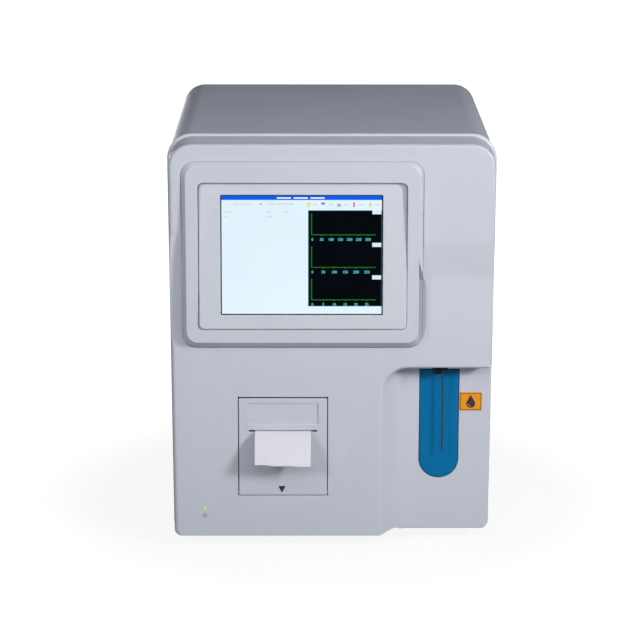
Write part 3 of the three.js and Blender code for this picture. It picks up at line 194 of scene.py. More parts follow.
def at_side(outline, x):
    return [(x, y, z) for y, z in outline]


def quarter(radius, steps=6):
    """Pairs of (how far in, how deep) round an outer edge, from the front face to the side."""
    turns = [math.pi / 2 * i / steps for i in range(steps + 1)]
    return [(radius * (1 - math.sin(turn)), radius * (1 - math.cos(turn))) for turn in turns]


def dome(radius, height, steps=6):
    """Pairs of (radius, distance down) over a round top, from its middle to its side."""
    turns = [math.pi / 2 * i / steps for i in range(steps + 1)]
    return [(radius * math.sin(turn), height * (1 - math.cos(turn))) for turn in turns]


def arc(centre, radius, first, last, step):
    """Points round a centre in X and Z, from one angle in degrees to another."""
    turns = [math.radians(turn) for turn in range(first, last, step)]
    return [(centre[0] + radius * math.cos(turn), centre[1] + radius * math.sin(turn)) for turn in turns]


def middle_of(low, high, *axes):
    """The middle between two corners, along the axes that are named by number."""
    return tuple((low[axis] + high[axis]) / 2 for axis in axes)


def made(name, points, faces, turn=None):
    """A mesh object from points in millimetres, with every face turned outwards."""
    mesh = bpy.data.meshes.new(name)
    shift = Vector((0, FACE_Y, 0))
    places = [Vector(p) for p in points]
    if turn:
        places = [turn @ p for p in places]
    mesh.from_pydata([p * MM + shift for p in places], [], faces)
    clean = bmesh.new()
    clean.from_mesh(mesh)
    bmesh.ops.remove_doubles(clean, verts=clean.verts, dist=MM * MERGE_DISTANCE)
    bmesh.ops.recalc_face_normals(clean, faces=clean.faces)
    clean.to_mesh(mesh)
    clean.free()
    obj = bpy.data.objects.new(name, mesh)
    bpy.context.scene.collection.objects.link(obj)
    return obj


def stack(name, rings, turn=None):
    """A closed solid through rings of points, one after the other."""
    count = len(rings[0])
    faces = [list(range(count)), [len(rings) * count - 1 - i for i in range(count)]]
    for level in range(len(rings) - 1):
        for i in range(count):
            j = (i + 1) % count
            a, b = level * count, (level + 1) * count
            faces.append([a + i, a + j, b + j, b + i])
    return made(name, [p for ring in rings for p in ring], faces, turn)


def plate(name, outline, y0, y1, front=0.0, back=0.0, turn=None):
    """A plate with an outline in X and Z, its front and back edges rounded. outline takes an inset."""
    before = quarter(front) if front else [(0, 0)]
    after = reversed(quarter(back)) if back else [(0, 0)]
    rings = [at_depth(outline(inset), y0 + depth) for inset, depth in before]
    rings += [at_depth(outline(inset), y1 - depth) for inset, depth in after]
    return stack(name, rings, turn)


def flared(name, x, z, corner, steps, section, turn=None):
    """The tool for a hole with an eased edge. section holds pairs of (how much wider, how deep)."""
    rings = [
        at_depth(rounded_box(x[0] - grow, x[1] + grow, z[0] - grow, z[1] + grow, corner + grow, steps), y)
        for grow, y in section]
    return stack(name, rings, turn)


def box(name, x, y, z, turn=None):
    ring = [(x[0], z[0]), (x[1], z[0]), (x[1], z[1]), (x[0], z[1])]
    return stack(name, [at_depth(ring, y[0]), at_depth(ring, y[1])], turn)


def along(axis, distance, a, b):
    """A point at a distance along an axis, with its two other coordinates."""
    return {"x": (distance, a, b), "y": (a, distance, b), "z": (a, b, distance)}[axis]


def turned(name, profile, axis, centre, sides=40, turn=None):
    """A solid of rings of (radius, distance) about an axis. centre holds the two other coordinates."""
    rings = []
    for radius, distance in profile:
        radius = max(radius, POLE_RADIUS)
        rings.append([
            along(axis, distance, centre[0] + radius * math.cos(TAU * i / sides),
                  centre[1] + radius * math.sin(TAU * i / sides))
            for i in range(sides)])
    return stack(name, rings, turn)


def rod(name, axis, radius, span, centre, sides=32, edge=0.0, turn=None):
    if not edge:
        return turned(name, [(radius, span[0]), (radius, span[1])], axis, centre, sides, turn)
    profile = [(radius - inset, span[0] + depth) for inset, depth in quarter(edge, 3)]
    profile += [(radius - inset, span[1] - depth) for inset, depth in reversed(quarter(edge, 3))]
    return turned(name, profile, axis, centre, sides, turn)


def bake(obj):
    """The object's modifiers become part of its mesh."""
    graph = bpy.context.evaluated_depsgraph_get()
    evaluated = obj.evaluated_get(graph)
    mesh = bpy.data.meshes.new_from_object(evaluated, preserve_all_data_layers=True, depsgraph=graph)
    old = obj.data
    obj.modifiers.clear()
    obj.data = mesh
    if isinstance(old, bpy.types.Mesh) and not old.users:
        bpy.data.meshes.remove(old)
    return obj


def smooth(obj, sharp):
    """Smooth shading up to an angle in degrees."""
    for face in obj.data.polygons:
        face.use_smooth = True
    obj.data.set_sharp_from_angle(angle=math.radians(sharp))
    return obj


def combine(target, tools, operation):
    for tool in tools:
        step = target.modifiers.new("shape", "BOOLEAN")
        step.operation = operation
        step.object = tool
        step.solver = "MANIFOLD"
    bake(target)
    for tool in tools:
        bpy.data.objects.remove(tool)
    return target


def cut(target, *tools):
    return combine(target, tools, "DIFFERENCE")


def fuse(target, *tools):
    return combine(target, tools, "UNION")


def without_doubled_faces(obj):
    """Takes away faces that lie back to back on the same corners, which a cut can leave behind."""
    clean = bmesh.new()
    clean.from_mesh(obj.data)
    by_corners = {}
    for face in clean.faces:
        by_corners.setdefault(frozenset(face.verts), []).append(face)
    doubled = [face for same in by_corners.values() if len(same) > 1 for face in same]
    bmesh.ops.delete(clean, geom=doubled, context="FACES")
    clean.to_mesh(obj.data)
    clean.free()
    return obj


def gather(name, objects):
    """Several closed bodies as one object."""
    whole = bmesh.new()
    slots = []
    for obj in objects:
        start = len(whole.faces)
        whole.from_mesh(obj.data)
        whole.faces.ensure_lookup_table()
        for face in whole.faces[start:]:
            material = obj.data.materials[face.material_index] if obj.data.materials else None
            if material not in slots:
                slots.append(material)
            face.material_index = slots.index(material)
    mesh = bpy.data.meshes.new(name)
    whole.to_mesh(mesh)
    whole.free()
    for obj in objects:
        bpy.data.objects.remove(obj)
    for material in slots:
        mesh.materials.append(material)
    result = bpy.data.objects.new(name, mesh)
    bpy.context.scene.collection.objects.link(result)
    return result


def soften(obj, width=0.0, segments=3, sharp=32):
    """Rounds the edges, then shades the surfaces smooth with flat faces kept flat."""
    if width:
        edge = obj.modifiers.new("edges", "BEVEL")
        edge.width = width * MM
        edge.segments = segments
        edge.limit_method = "ANGLE"
        edge.angle_limit = math.radians(sharp)
        edge.use_clamp_overlap = True
        bake(obj)
    smooth(obj, sharp)
    even = obj.modifiers.new("even", "WEIGHTED_NORMAL")
    even.keep_sharp = True
    even.weight = 100
    return bake(obj)


def finished(obj, material, body="casing", nodes=()):
    """Gives the piece its finish and the body it rides on, and hides the CAD nodes it stands for."""
    if material:
        obj.data.materials.clear()
        obj.data.materials.append(material)
    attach(obj, body)
    if nodes:
        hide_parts(*nodes)
    return obj


# Node tools

def node(tree, kind, inputs=None, **settings):
    """A node with its settings, each input a value or a socket to link."""
    made_node = tree.nodes.new(kind)
    for key, value in settings.items():
        setattr(made_node, key, value)
    for key, value in (inputs or {}).items():
        socket = made_node.inputs[key]
        if isinstance(value, bpy.types.NodeSocket):
            tree.links.new(value, socket)
        else:
            socket.default_value = value
    return made_node


def shader_group(name, inputs, outputs):
    tree = bpy.data.node_groups.new(name, "ShaderNodeTree")
    for label, kind, value in inputs:
        socket = tree.interface.new_socket(label, in_out="INPUT", socket_type=kind)
        socket.default_value = value
    for label, kind in outputs:
        tree.interface.new_socket(label, in_out="OUTPUT", socket_type=kind)
    return tree, tree.nodes.new("NodeGroupInput").outputs, tree.nodes.new("NodeGroupOutput").inputs


FLOAT, COLOUR, VECTOR = "NodeSocketFloat", "NodeSocketColor", "NodeSocketVector"


def shared(name, build):
    """A shader group that is built once."""
    return bpy.data.node_groups.get(name) or build(name)


def mixed(tree, factor, first, second, blend="MIX"):
    mix = node(tree, "ShaderNodeMix", data_type="RGBA", blend_type=blend)
    for socket, value in zip((mix.inputs[0], mix.inputs[6], mix.inputs[7]), (factor, first, second)):
        if isinstance(value, bpy.types.NodeSocket):
            tree.links.new(value, socket)
        else:
            socket.default_value = value
    return mix.outputs[2]


def maths(tree, operation, first, second=0.0, clamp=False):
    step = node(tree, "ShaderNodeMath", {0: first, 1: second}, operation=operation, use_clamp=clamp)
    return step.outputs[0]


def ranged(tree, value, low, high, to_low, to_high):
    return node(tree, "ShaderNodeMapRange", {
        "Value": value, "From Min": low, "From Max": high, "To Min": to_low, "To Max": to_high}).outputs[0]


def build_grain(name):
    """Fine moulding or paint texture, with a slow drift of tone over the surface."""
    tree, given, out = shader_group(name, [
        ("Colour", COLOUR, (0.5, 0.5, 0.5, 1)), ("Drift", FLOAT, 0.04), ("Grain size", FLOAT, 0.6),
        ("Roughness", FLOAT, 0.5), ("Roughness drift", FLOAT, 0.08),
    ], [("Colour", COLOUR), ("Roughness", FLOAT), ("Height", FLOAT)])
    place = node(tree, "ShaderNodeTexCoord").outputs["Object"]
    fine_scale = maths(tree, "DIVIDE", 1 / MM, given["Grain size"])
    fine = node(tree, "ShaderNodeTexNoise", {
        "Vector": place, "Scale": fine_scale, "Detail": 3, "Roughness": 0.6})
    slow = node(tree, "ShaderNodeTexNoise", {"Vector": place, "Scale": 9, "Detail": 4, "Roughness": 0.55})
    drift = ranged(tree, slow.outputs["Fac"], 0.3, 0.7, -1, 1)
    scaled = maths(tree, "MULTIPLY", drift, given["Drift"])
    value = maths(tree, "ADD", scaled, 1)
    toned = node(tree, "ShaderNodeHueSaturation", {"Value": value, "Color": given["Colour"]})
    speck = ranged(tree, fine.outputs["Fac"], 0.35, 0.65, 0.975, 1.015)
    toned = node(tree, "ShaderNodeHueSaturation", {"Value": speck, "Color": toned.outputs["Color"]})
    rough = maths(tree, "MULTIPLY", drift, given["Roughness drift"])
    rough = maths(tree, "ADD", rough, given["Roughness"], clamp=True)
    tree.links.new(toned.outputs["Color"], out["Colour"])
    tree.links.new(rough, out["Roughness"])
    tree.links.new(fine.outputs["Fac"], out["Height"])
    return tree


def build_wear(name):
    """Edges rubbed lighter, and painted shade darkening the inner corners."""
    tree, given, out = shader_group(name, [
        ("Colour", COLOUR, (0.5, 0.5, 0.5, 1)), ("Edge", FLOAT, 0.25), ("Corner", FLOAT, 0.3),
    ], [("Colour", COLOUR), ("Mask", FLOAT)])
    point = node(tree, "ShaderNodeNewGeometry").outputs["Pointiness"]
    place = node(tree, "ShaderNodeTexCoord").outputs["Object"]
    patchy = node(tree, "ShaderNodeTexNoise", {"Vector": place, "Scale": 55, "Detail": 5})
    breakup = ranged(tree, patchy.outputs["Fac"], 0.35, 0.65, 0.4, 1)
    raised = maths(tree, "MULTIPLY", ranged(tree, point, 0.52, 0.62, 0, 1), breakup)
    # Inner corners are darkened towards near black: painted shade.
    sunk = ranged(tree, point, 0.49, 0.42, 0, 1)
    rubbed, painted_corner_shade = (0.9, 0.91, 0.93, 1), (0.12, 0.12, 0.13, 1)
    lighter = mixed(tree, maths(tree, "MULTIPLY", raised, given["Edge"]), given["Colour"], rubbed)
    darker = mixed(tree, maths(tree, "MULTIPLY", sunk, given["Corner"]), lighter, painted_corner_shade)
    tree.links.new(darker, out["Colour"])
    tree.links.new(raised, out["Mask"])
    return tree


def build_dust(name):
    """A thin veil of dust on surfaces that face up."""
    tree, given, out = shader_group(name, [
        ("Colour", COLOUR, (0.5, 0.5, 0.5, 1)), ("Amount", FLOAT, 0.12),
    ], [("Colour", COLOUR)])
    facing = node(tree, "ShaderNodeSeparateXYZ", {0: node(tree, "ShaderNodeNewGeometry").outputs["Normal"]})
    place = node(tree, "ShaderNodeTexCoord").outputs["Object"]
    cloud = node(tree, "ShaderNodeTexNoise", {"Vector": place, "Scale": 26, "Detail": 6, "Roughness": 0.7})
    up = ranged(tree, facing.outputs["Z"], 0.5, 1, 0, 1)
    veil = maths(tree, "MULTIPLY", up, ranged(tree, cloud.outputs["Fac"], 0.4, 0.75, 0, 1))
    veil = maths(tree, "MULTIPLY", veil, given["Amount"])
    tree.links.new(mixed(tree, veil, given["Colour"], (0.62, 0.61, 0.58, 1)), out["Colour"])
    return tree


def build_brushed(name):
    """Fine straight lines left by rolling or brushing metal."""
    tree, given, out = shader_group(name, [
        ("Stretch", VECTOR, (1, 1, 1)), ("Roughness", FLOAT, 0.35), ("Spread", FLOAT, 0.15),
    ], [("Roughness", FLOAT), ("Height", FLOAT)])
    place = node(tree, "ShaderNodeTexCoord").outputs["Object"]
    drawn = node(tree, "ShaderNodeVectorMath", {0: place, 1: given["Stretch"]}, operation="MULTIPLY")
    lines = node(tree, "ShaderNodeTexNoise", {"Vector": drawn.outputs[0], "Scale": 900, "Detail": 4})
    offset = ranged(tree, lines.outputs["Fac"], 0.3, 0.7, -1, 1)
    rough = maths(tree, "MULTIPLY", offset, given["Spread"])
    rough = maths(tree, "ADD", rough, given["Roughness"], clamp=True)
    tree.links.new(rough, out["Roughness"])
    tree.links.new(lines.outputs["Fac"], out["Height"])
    return tree


def grouped(tree, name, build, inputs):
    return node(tree, "ShaderNodeGroup", inputs, node_tree=shared(name, build))


def rgba(value):
    return (*value[:3], 1)


def new_material(name):
    material = bpy.data.materials.new(name)
    material.use_nodes = True
    tree = material.node_tree
    return material, tree, tree.nodes["Principled BSDF"]


def bumped(tree, surface, height, strength, distance):
    bump = node(tree, "ShaderNodeBump", {"Height": height, "Strength": strength, "Distance": distance * MM})
    tree.links.new(bump.outputs["Normal"], surface.inputs["Normal"])


def plastic(name, base, roughness=0.5, grain=0.6, height=0.04, edge=0.15, corner=0.25, dust=0.06,
            drift=0.02, coat=0.0, specular=0.5):
    """Moulded plastic or paint: grain, worn edges, painted shade in the inner corners and a little dust."""
    material, tree, surface = new_material(name)
    fine = grouped(tree, "fine_grain", build_grain, {
        "Colour": rgba(base), "Drift": drift, "Grain size": grain, "Roughness": roughness,
        "Roughness drift": 0.05})
    # Worn edges, and painted shade in the inner corners as strong as corner.
    worn_and_shaded = grouped(tree, "edge_wear", build_wear, {
        "Colour": fine.outputs["Colour"], "Edge": edge, "Corner": corner})
    dusty = grouped(tree, "settled_dust", build_dust, {"Colour": worn_and_shaded.outputs["Colour"], "Amount": dust})
    tree.links.new(dusty.outputs["Colour"], surface.inputs["Base Color"])
    tree.links.new(fine.outputs["Roughness"], surface.inputs["Roughness"])
    surface.inputs["Specular IOR Level"].default_value = specular
    surface.inputs["Coat Weight"].default_value = coat
    surface.inputs["Coat Roughness"].default_value = 0.15
    bumped(tree, surface, fine.outputs["Height"], 0.5, height)
    return material


def metal(name, base, roughness=0.35, stretch=(1, 1, 0.04), edge=0.2, corner=0.5, spread=0.12):
    """Bare metal: brushed lines, worn edges, painted shade in the inner corners and a little dust."""
    material, tree, surface = new_material(name)
    lines = grouped(tree, "brushed_lines", build_brushed, {
        "Stretch": stretch, "Roughness": roughness, "Spread": spread})
    # Worn edges, and painted shade in the inner corners as strong as corner.
    worn_and_shaded = grouped(tree, "edge_wear", build_wear, {"Colour": rgba(base), "Edge": edge, "Corner": corner})
    dusty = grouped(tree, "settled_dust", build_dust, {"Colour": worn_and_shaded.outputs["Colour"], "Amount": 0.05})
    tree.links.new(dusty.outputs["Colour"], surface.inputs["Base Color"])
    tree.links.new(lines.outputs["Roughness"], surface.inputs["Roughness"])
    surface.inputs["Metallic"].default_value = 1
    bumped(tree, surface, lines.outputs["Height"], 0.25, 0.01)
    return material


def lit(name, base, strength, drift=0.02):
    """A patch of the lit screen: its colour, the panel's fine rows and a glossy front."""
    material, tree, surface = new_material(name)
    place = node(tree, "ShaderNodeTexCoord").outputs["Object"]
    across = node(tree, "ShaderNodeTexWave", {"Vector": place, "Scale": 300.0}, bands_direction="X")
    down = node(tree, "ShaderNodeTexWave", {"Vector": place, "Scale": 300.0}, bands_direction="Z")
    rows = maths(tree, "MULTIPLY", across.outputs["Fac"], down.outputs["Fac"])
    grid = ranged(tree, rows, 0, 1, 0.97, 1)
    slow = node(tree, "ShaderNodeTexNoise", {"Vector": place, "Scale": 8, "Detail": 2})
    level = maths(tree, "MULTIPLY", grid, ranged(tree, slow.outputs["Fac"], 0.3, 0.7, 1 - drift, 1))
    glow = node(tree, "ShaderNodeHueSaturation", {"Value": level, "Color": rgba(base)})
    tree.links.new(glow.outputs["Color"], surface.inputs["Emission Color"])
    surface.inputs["Emission Strength"].default_value = strength
    surface.inputs["Base Color"].default_value = (0.002, 0.003, 0.004, 1)
    smear = node(tree, "ShaderNodeTexNoise", {"Vector": place, "Scale": 30, "Detail": 4})
    tree.links.new(ranged(tree, smear.outputs["Fac"], 0.3, 0.7, 0.3, 0.45), surface.inputs["Roughness"])
    surface.inputs["Specular IOR Level"].default_value = 0.01
    return material


def build_materials():
    """Every finish by its name. Pieces share them."""
    scene = bpy.context.scene
    casing, screen = scene.analyzer_casing, scene.analyzer_screen
    printer, recess = scene.analyzer_printer, scene.analyzer_recess
    glow = screen.glow
    finishes = {
        "face": plastic("front_moulding", casing.face, 0.46, grain=0.5, height=0.03, edge=0.08, corner=0.12,
                        dust=0.02, drift=0.012),
        "flap": plastic("door_moulding", casing.face, 0.46, grain=0.5, height=0.03, edge=0, corner=0,
                        dust=0.02, drift=0.012),
        "bezel": plastic("bezel", screen.bezel, 0.42, grain=0.5, height=0.02, edge=0.08, corner=0.15,
                         dust=0.02, drift=0.01),
        "cover": plastic("cover_paint", casing.cover, 0.55, grain=0.9, height=0.06, edge=0.1, corner=0.1,
                         dust=0.05, drift=0.02, specular=0.2),
        "key": plastic("aspirate_key", recess.key, 0.5, grain=1.6, height=0.008, edge=0.02, corner=0.3,
                       dust=0.0, drift=0.05, specular=0.15),
        "dark": plastic("dark_plastic", linear(28, 31, 34), 0.5, edge=0.08, corner=0.2),
        "black": plastic("black_plastic", linear(9, 11, 14), 0.6, edge=0.01, corner=0.1, dust=0.01,
                         specular=0.2),
        "grey": plastic("grey_plastic", linear(111, 117, 124), 0.55),
        "mark": plastic("printed_mark", linear(46, 50, 58), 0.6, grain=0.3, height=0.004, edge=0, corner=0),
        "clear": plastic("clear_plastic", linear(206, 220, 226), 0.12, grain=3, height=0.01, edge=0.05,
                         corner=0.1, coat=0.5),
        "steel": metal("steel", linear(190, 193, 198), 0.3),
        "needle": metal("needle_steel", linear(92, 98, 100), 0.42, stretch=(1, 1, 0.02)),
        "zinc": metal("zinc_plate", linear(172, 176, 182), 0.42, stretch=(0.1, 1, 1), spread=0.16),
        "brass": metal("brass", linear(183, 154, 85), 0.32),
        "page": lit("lit_page", screen.paper_white, glow, 0.06),
        "title": lit("lit_title", screen.title, glow),
        "plot": lit("lit_plot", screen.plot, glow),
        "plot_edge": lit("lit_plot_edge", linear(28, 74, 92), glow),
        "axis": lit("lit_axis", linear(28, 118, 34), glow),
        "number": lit("lit_number", linear(84, 206, 216), glow),
        "word": lit("lit_word", linear(168, 184, 196), glow),
        "faint": lit("lit_faint_word", linear(206, 222, 232), glow),
        "light": lit("lit_light_word", linear(230, 242, 255), glow),
        "yellow": lit("lit_yellow", linear(240, 226, 96), glow),
        "violet": lit("lit_violet", linear(128, 120, 190), glow),
        "red": lit("lit_red", linear(226, 128, 128), glow),
        "lime": lit("lit_lime", linear(214, 220, 130), glow),
        "tag": lit("lit_tag", linear(216, 236, 242), glow),
        "paper": paper_finish(printer.paper),
        "label": label_finish(recess.label),
        "rubber": rubber_finish(),
        "board": board_finish(),
        "glass": glass_finish(),
        "lens": lens_finish(),
        "roll": roll_finish(printer.paper),
    }
    return finishes


def paper_finish(base):
    """Thermal paper: faint fibres over an even, matt surface."""
    material, tree, surface = new_material("thermal_paper")
    fine = grouped(tree, "fine_grain", build_grain, {
        "Colour": rgba(base), "Drift": 0.02, "Grain size": 0.9, "Roughness": 0.62, "Roughness drift": 0.06})
    place = node(tree, "ShaderNodeTexCoord").outputs["Object"]
    fibre = node(tree, "ShaderNodeTexNoise", {"Vector": place, "Scale": 420, "Detail": 6, "Distortion": 2})
    tint = ranged(tree, fibre.outputs["Fac"], 0.3, 0.7, 0.97, 1.02)
    tone = node(tree, "ShaderNodeHueSaturation", {"Value": tint, "Color": fine.outputs["Colour"]})
    tree.links.new(tone.outputs["Color"], surface.inputs["Base Color"])
    tree.links.new(fine.outputs["Roughness"], surface.inputs["Roughness"])
    bumped(tree, surface, fibre.outputs["Fac"], 0.4, 0.03)
    return material


def radius_from(tree, middle, across, up):
    """How far a point lies from the middle, in the plane of two axes."""
    place = node(tree, "ShaderNodeTexCoord").outputs["Object"]
    centred = node(tree, "ShaderNodeVectorMath", {0: place, 1: tuple(middle)}, operation="SUBTRACT")
    split = node(tree, "ShaderNodeSeparateXYZ", {0: centred.outputs[0]})
    flat = node(tree, "ShaderNodeCombineXYZ", {"X": split.outputs[across], "Y": split.outputs[up]})
    return node(tree, "ShaderNodeVectorMath", {0: flat.outputs[0]}, operation="LENGTH").outputs["Value"]


def roll_finish(base):
    """The paper roll, with its turns showing as rings on the ends."""
    material, tree, surface = new_material("paper_roll")
    low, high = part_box("paper_roll")
    ring_pitch = 0.6 * MM
    radius = radius_from(tree, (low + high) / 2, "Y", "Z")
    turns = maths(tree, "SINE", maths(tree, "MULTIPLY", radius, TAU / ring_pitch))
    tint = ranged(tree, turns, -1, 1, 0.86, 1.0)
    tone = node(tree, "ShaderNodeHueSaturation", {"Value": tint, "Color": rgba(base)})
    tree.links.new(tone.outputs["Color"], surface.inputs["Base Color"])
    surface.inputs["Roughness"].default_value = 0.7
    bumped(tree, surface, turns, 0.3, 0.05)
    return material


def label_finish(base):
    """Printed film with a slight mottle and a satin coat."""
    material, tree, surface = new_material("orange_film")
    fine = grouped(tree, "fine_grain", build_grain, {
        "Colour": rgba(base), "Drift": 0.05, "Grain size": 1.4, "Roughness": 0.4, "Roughness drift": 0.08})
    # Worn edges, and painted shade in the film's inner corners.
    worn_and_shaded = grouped(tree, "edge_wear", build_wear, {
        "Colour": fine.outputs["Colour"], "Edge": 0.3, "Corner": 0.1})
    tree.links.new(worn_and_shaded.outputs["Colour"], surface.inputs["Base Color"])
    tree.links.new(fine.outputs["Roughness"], surface.inputs["Roughness"])
    bumped(tree, surface, fine.outputs["Height"], 0.3, 0.01)
    return material


def rubber_finish():
    material, tree, surface = new_material("rubber")
    fine = grouped(tree, "fine_grain", build_grain, {
        "Colour": rgba(linear(34, 34, 36)), "Drift": 0.2, "Grain size": 0.8, "Roughness": 0.85,
        "Roughness drift": 0.05})
    dusty = grouped(tree, "settled_dust", build_dust, {"Colour": fine.outputs["Colour"], "Amount": 0.35})
    tree.links.new(dusty.outputs["Colour"], surface.inputs["Base Color"])
    tree.links.new(fine.outputs["Roughness"], surface.inputs["Roughness"])
    bumped(tree, surface, fine.outputs["Height"], 0.6, 0.1)
    return material


def board_finish():
    """Circuit board: solder mask with lighter tracks on a small grid."""
    material, tree, surface = new_material("circuit_board")
    place = node(tree, "ShaderNodeTexCoord").outputs["Object"]
    cells = node(tree, "ShaderNodeTexBrick", {
        "Vector": place, "Scale": 180.0, "Mortar Size": 0.05, "Color1": rgba(linear(24, 92, 50)),
        "Color2": rgba(linear(28, 104, 58)), "Mortar": rgba(linear(62, 140, 84))})
    dots = node(tree, "ShaderNodeTexVoronoi", {"Vector": place, "Scale": 260.0}, feature="F1")
    pads = ranged(tree, dots.outputs["Distance"], 0.16, 0.2, 1, 0)
    base = mixed(tree, pads, cells.outputs["Color"], rgba(linear(190, 184, 150)))
    dusty = grouped(tree, "settled_dust", build_dust, {"Colour": base, "Amount": 0.2})
    tree.links.new(dusty.outputs["Colour"], surface.inputs["Base Color"])
    surface.inputs["Roughness"].default_value = 0.4
    bumped(tree, surface, pads, 0.4, 0.05)
    return material


def glass_finish():
    """The touch panel's black border, with faint smears in its gloss."""
    material, tree, surface = new_material("screen_glass")
    place = node(tree, "ShaderNodeTexCoord").outputs["Object"]
    smear = node(tree, "ShaderNodeTexNoise", {"Vector": place, "Scale": 30, "Detail": 4})
    tone = mixed(tree, smear.outputs["Fac"], rgba(linear(10, 20, 28)), rgba(linear(16, 28, 36)))
    tree.links.new(tone, surface.inputs["Base Color"])
    tree.links.new(ranged(tree, smear.outputs["Fac"], 0.3, 0.7, 0.1, 0.22), surface.inputs["Roughness"])
    return material


def lens_finish():
    """The lamp's lens: brighter at its middle."""
    material, tree, surface = new_material("green_lens")
    low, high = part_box("power_led")
    lens_radius = 1.6 * MM
    share = ranged(tree, radius_from(tree, (low + high) / 2, "X", "Z"), 0, lens_radius, 0, 1)
    tone = mixed(tree, share, rgba(linear(212, 240, 170)), rgba(linear(96, 170, 60)))
    tree.links.new(tone, surface.inputs["Base Color"])
    tree.links.new(tone, surface.inputs["Emission Color"])
    surface.inputs["Emission Strength"].default_value = 0.7
    surface.inputs["Roughness"].default_value = 0.2
    return material


MATERIALS = {}


def finish(name):
    if not MATERIALS:
        MATERIALS.update(build_materials())
    return MATERIALS[name]


# Geometry Nodes

def geometry_tree(name, inputs):
    """A tree with named inputs. Returns it, its inputs as sockets and its last geometry socket."""
    tree = bpy.data.node_groups.new(name, "GeometryNodeTree")
    tree.interface.new_socket("Geometry", in_out="INPUT", socket_type="NodeSocketGeometry")
    for label, kind, value in inputs:
        socket = tree.interface.new_socket(label, in_out="INPUT", socket_type=kind)
        if value is not None:
            socket.default_value = value
    tree.interface.new_socket("Geometry", in_out="OUTPUT", socket_type="NodeSocketGeometry")
    given, out = tree.nodes.new("NodeGroupInput").outputs, tree.nodes.new("NodeGroupOutput").inputs
    return tree, given, out["Geometry"]


def grown(name, points, tree, values):
    """The mesh that a tree makes from a set of points, as an object of its own."""
    mesh = bpy.data.meshes.new(name)
    shift = Vector((0, FACE_Y, 0))
    mesh.from_pydata([Vector(p) * MM + shift for p in points], [], [])
    obj = bpy.data.objects.new(name, mesh)
    bpy.context.scene.collection.objects.link(obj)
    step = obj.modifiers.new("grow", "NODES")
    step.node_group = tree
    names = {item.name: item.identifier for item in tree.interface.items_tree
             if item.item_type == "SOCKET" and item.in_out == "INPUT"}
    for label, value in values.items():
        step[names[label]] = value
    return bake(obj)


def ended(tree, geometry, material, output):
    """Realize Instances and Set Material, which every tree ends in."""
    real = node(tree, "GeometryNodeRealizeInstances", {"Geometry": geometry})
    dressed = node(tree, "GeometryNodeSetMaterial", {"Geometry": real.outputs[0], "Material": material})
    tree.links.new(dressed.outputs[0], output)
    return tree


def copies_tree():
    """A shape set down on every point, all turned the same way."""
    tree, given, output = geometry_tree("set_on_points", [
        ("Shape", "NodeSocketObject", None), ("Turn", VECTOR, (0, 0, 0)), ("Size", FLOAT, 1.0),
        ("Material", "NodeSocketMaterial", None)])
    shape = node(tree, "GeometryNodeObjectInfo", {"Object": given["Shape"]}, transform_space="ORIGINAL")
    placed = node(tree, "GeometryNodeInstanceOnPoints", {
        "Points": given["Geometry"], "Instance": shape.outputs["Geometry"], "Rotation": given["Turn"],
        "Scale": given["Size"]})
    return ended(tree, placed.outputs[0], given["Material"], output)


def guard_tree():
    """Rings of wire about each point, evenly spaced from the inner to the outer."""
    tree, given, output = geometry_tree("wire_rings", [
        ("Rings", "NodeSocketInt", 5), ("Inner", FLOAT, 8 * MM), ("Outer", FLOAT, 38 * MM),
        ("Wire", FLOAT, 1.6 * MM), ("Material", "NodeSocketMaterial", None)])
    line = node(tree, "GeometryNodeMeshLine", {"Count": given["Rings"], "Offset": (0, 0, 0)}, mode="OFFSET")
    index = node(tree, "GeometryNodeInputIndex").outputs[0]
    last = maths(tree, "SUBTRACT", given["Rings"], 1.0)
    share = maths(tree, "DIVIDE", index, last)
    size = node(tree, "ShaderNodeMapRange", {
        "Value": share, "To Min": given["Inner"], "To Max": given["Outer"]})
    circle = node(tree, "GeometryNodeCurvePrimitiveCircle", {"Resolution": 64, "Radius": 1.0})
    stood = node(tree, "GeometryNodeTransform", {
        "Geometry": circle.outputs["Curve"], "Rotation": (math.pi / 2, 0, 0)})
    rings = node(tree, "GeometryNodeInstanceOnPoints", {
        "Points": line.outputs[0], "Instance": stood.outputs[0], "Scale": size.outputs[0]})
    real = node(tree, "GeometryNodeRealizeInstances", {"Geometry": rings.outputs[0]})
    radius = maths(tree, "DIVIDE", given["Wire"], 2.0)
    wire = node(tree, "GeometryNodeCurvePrimitiveCircle", {"Resolution": 10, "Radius": radius})
    tube = node(tree, "GeometryNodeCurveToMesh", {
        "Curve": real.outputs[0], "Profile Curve": wire.outputs["Curve"], "Fill Caps": True})
    placed = node(tree, "GeometryNodeInstanceOnPoints", {
        "Points": given["Geometry"], "Instance": tube.outputs[0]})
    return ended(tree, placed.outputs[0], given["Material"], output)


def loose(obj):
    """A shape that only a tree uses, drawn about the origin and taken away afterwards."""
    for vertex in obj.data.vertices:
        vertex.co.y -= FACE_Y
    return obj


def set_down(name, shape, points, material, turn=(0, 0, 0)):
    """A shape repeated on points, as one mesh."""
    tree = bpy.data.node_groups.get("set_on_points") or copies_tree()
    loose(shape)
    result = grown(name, points, tree, {"Shape": shape, "Turn": turn, "Size": 1.0, "Material": material})
    bpy.data.objects.remove(shape)
    return result


# Front moulding

RIM_DEPTH = SHELL_HIGH[1]
RIM_CORNER, LOWER_CORNER, SHELL_WALL = 25.0, 6.0, 3.0
RECESS_CEILING, RECESS_DEPTH = BASE_Z + 179.0, 23.0
RECESS_LEFT, RECESS_INNER = 51.0, 68.0
# The recess's upper left corner, seen from the front: its radius at the face and at the panel
RECESS_CORNER, PANEL_CORNER = 26, 14

# How far the face's edge is rounded in at the sides, the top and the foot, and how deep at the sides
EDGE_IN, EDGE_DEEP = (7.0, 2.6, 0.4), 8.0
TOP_SLOPE = 6.0
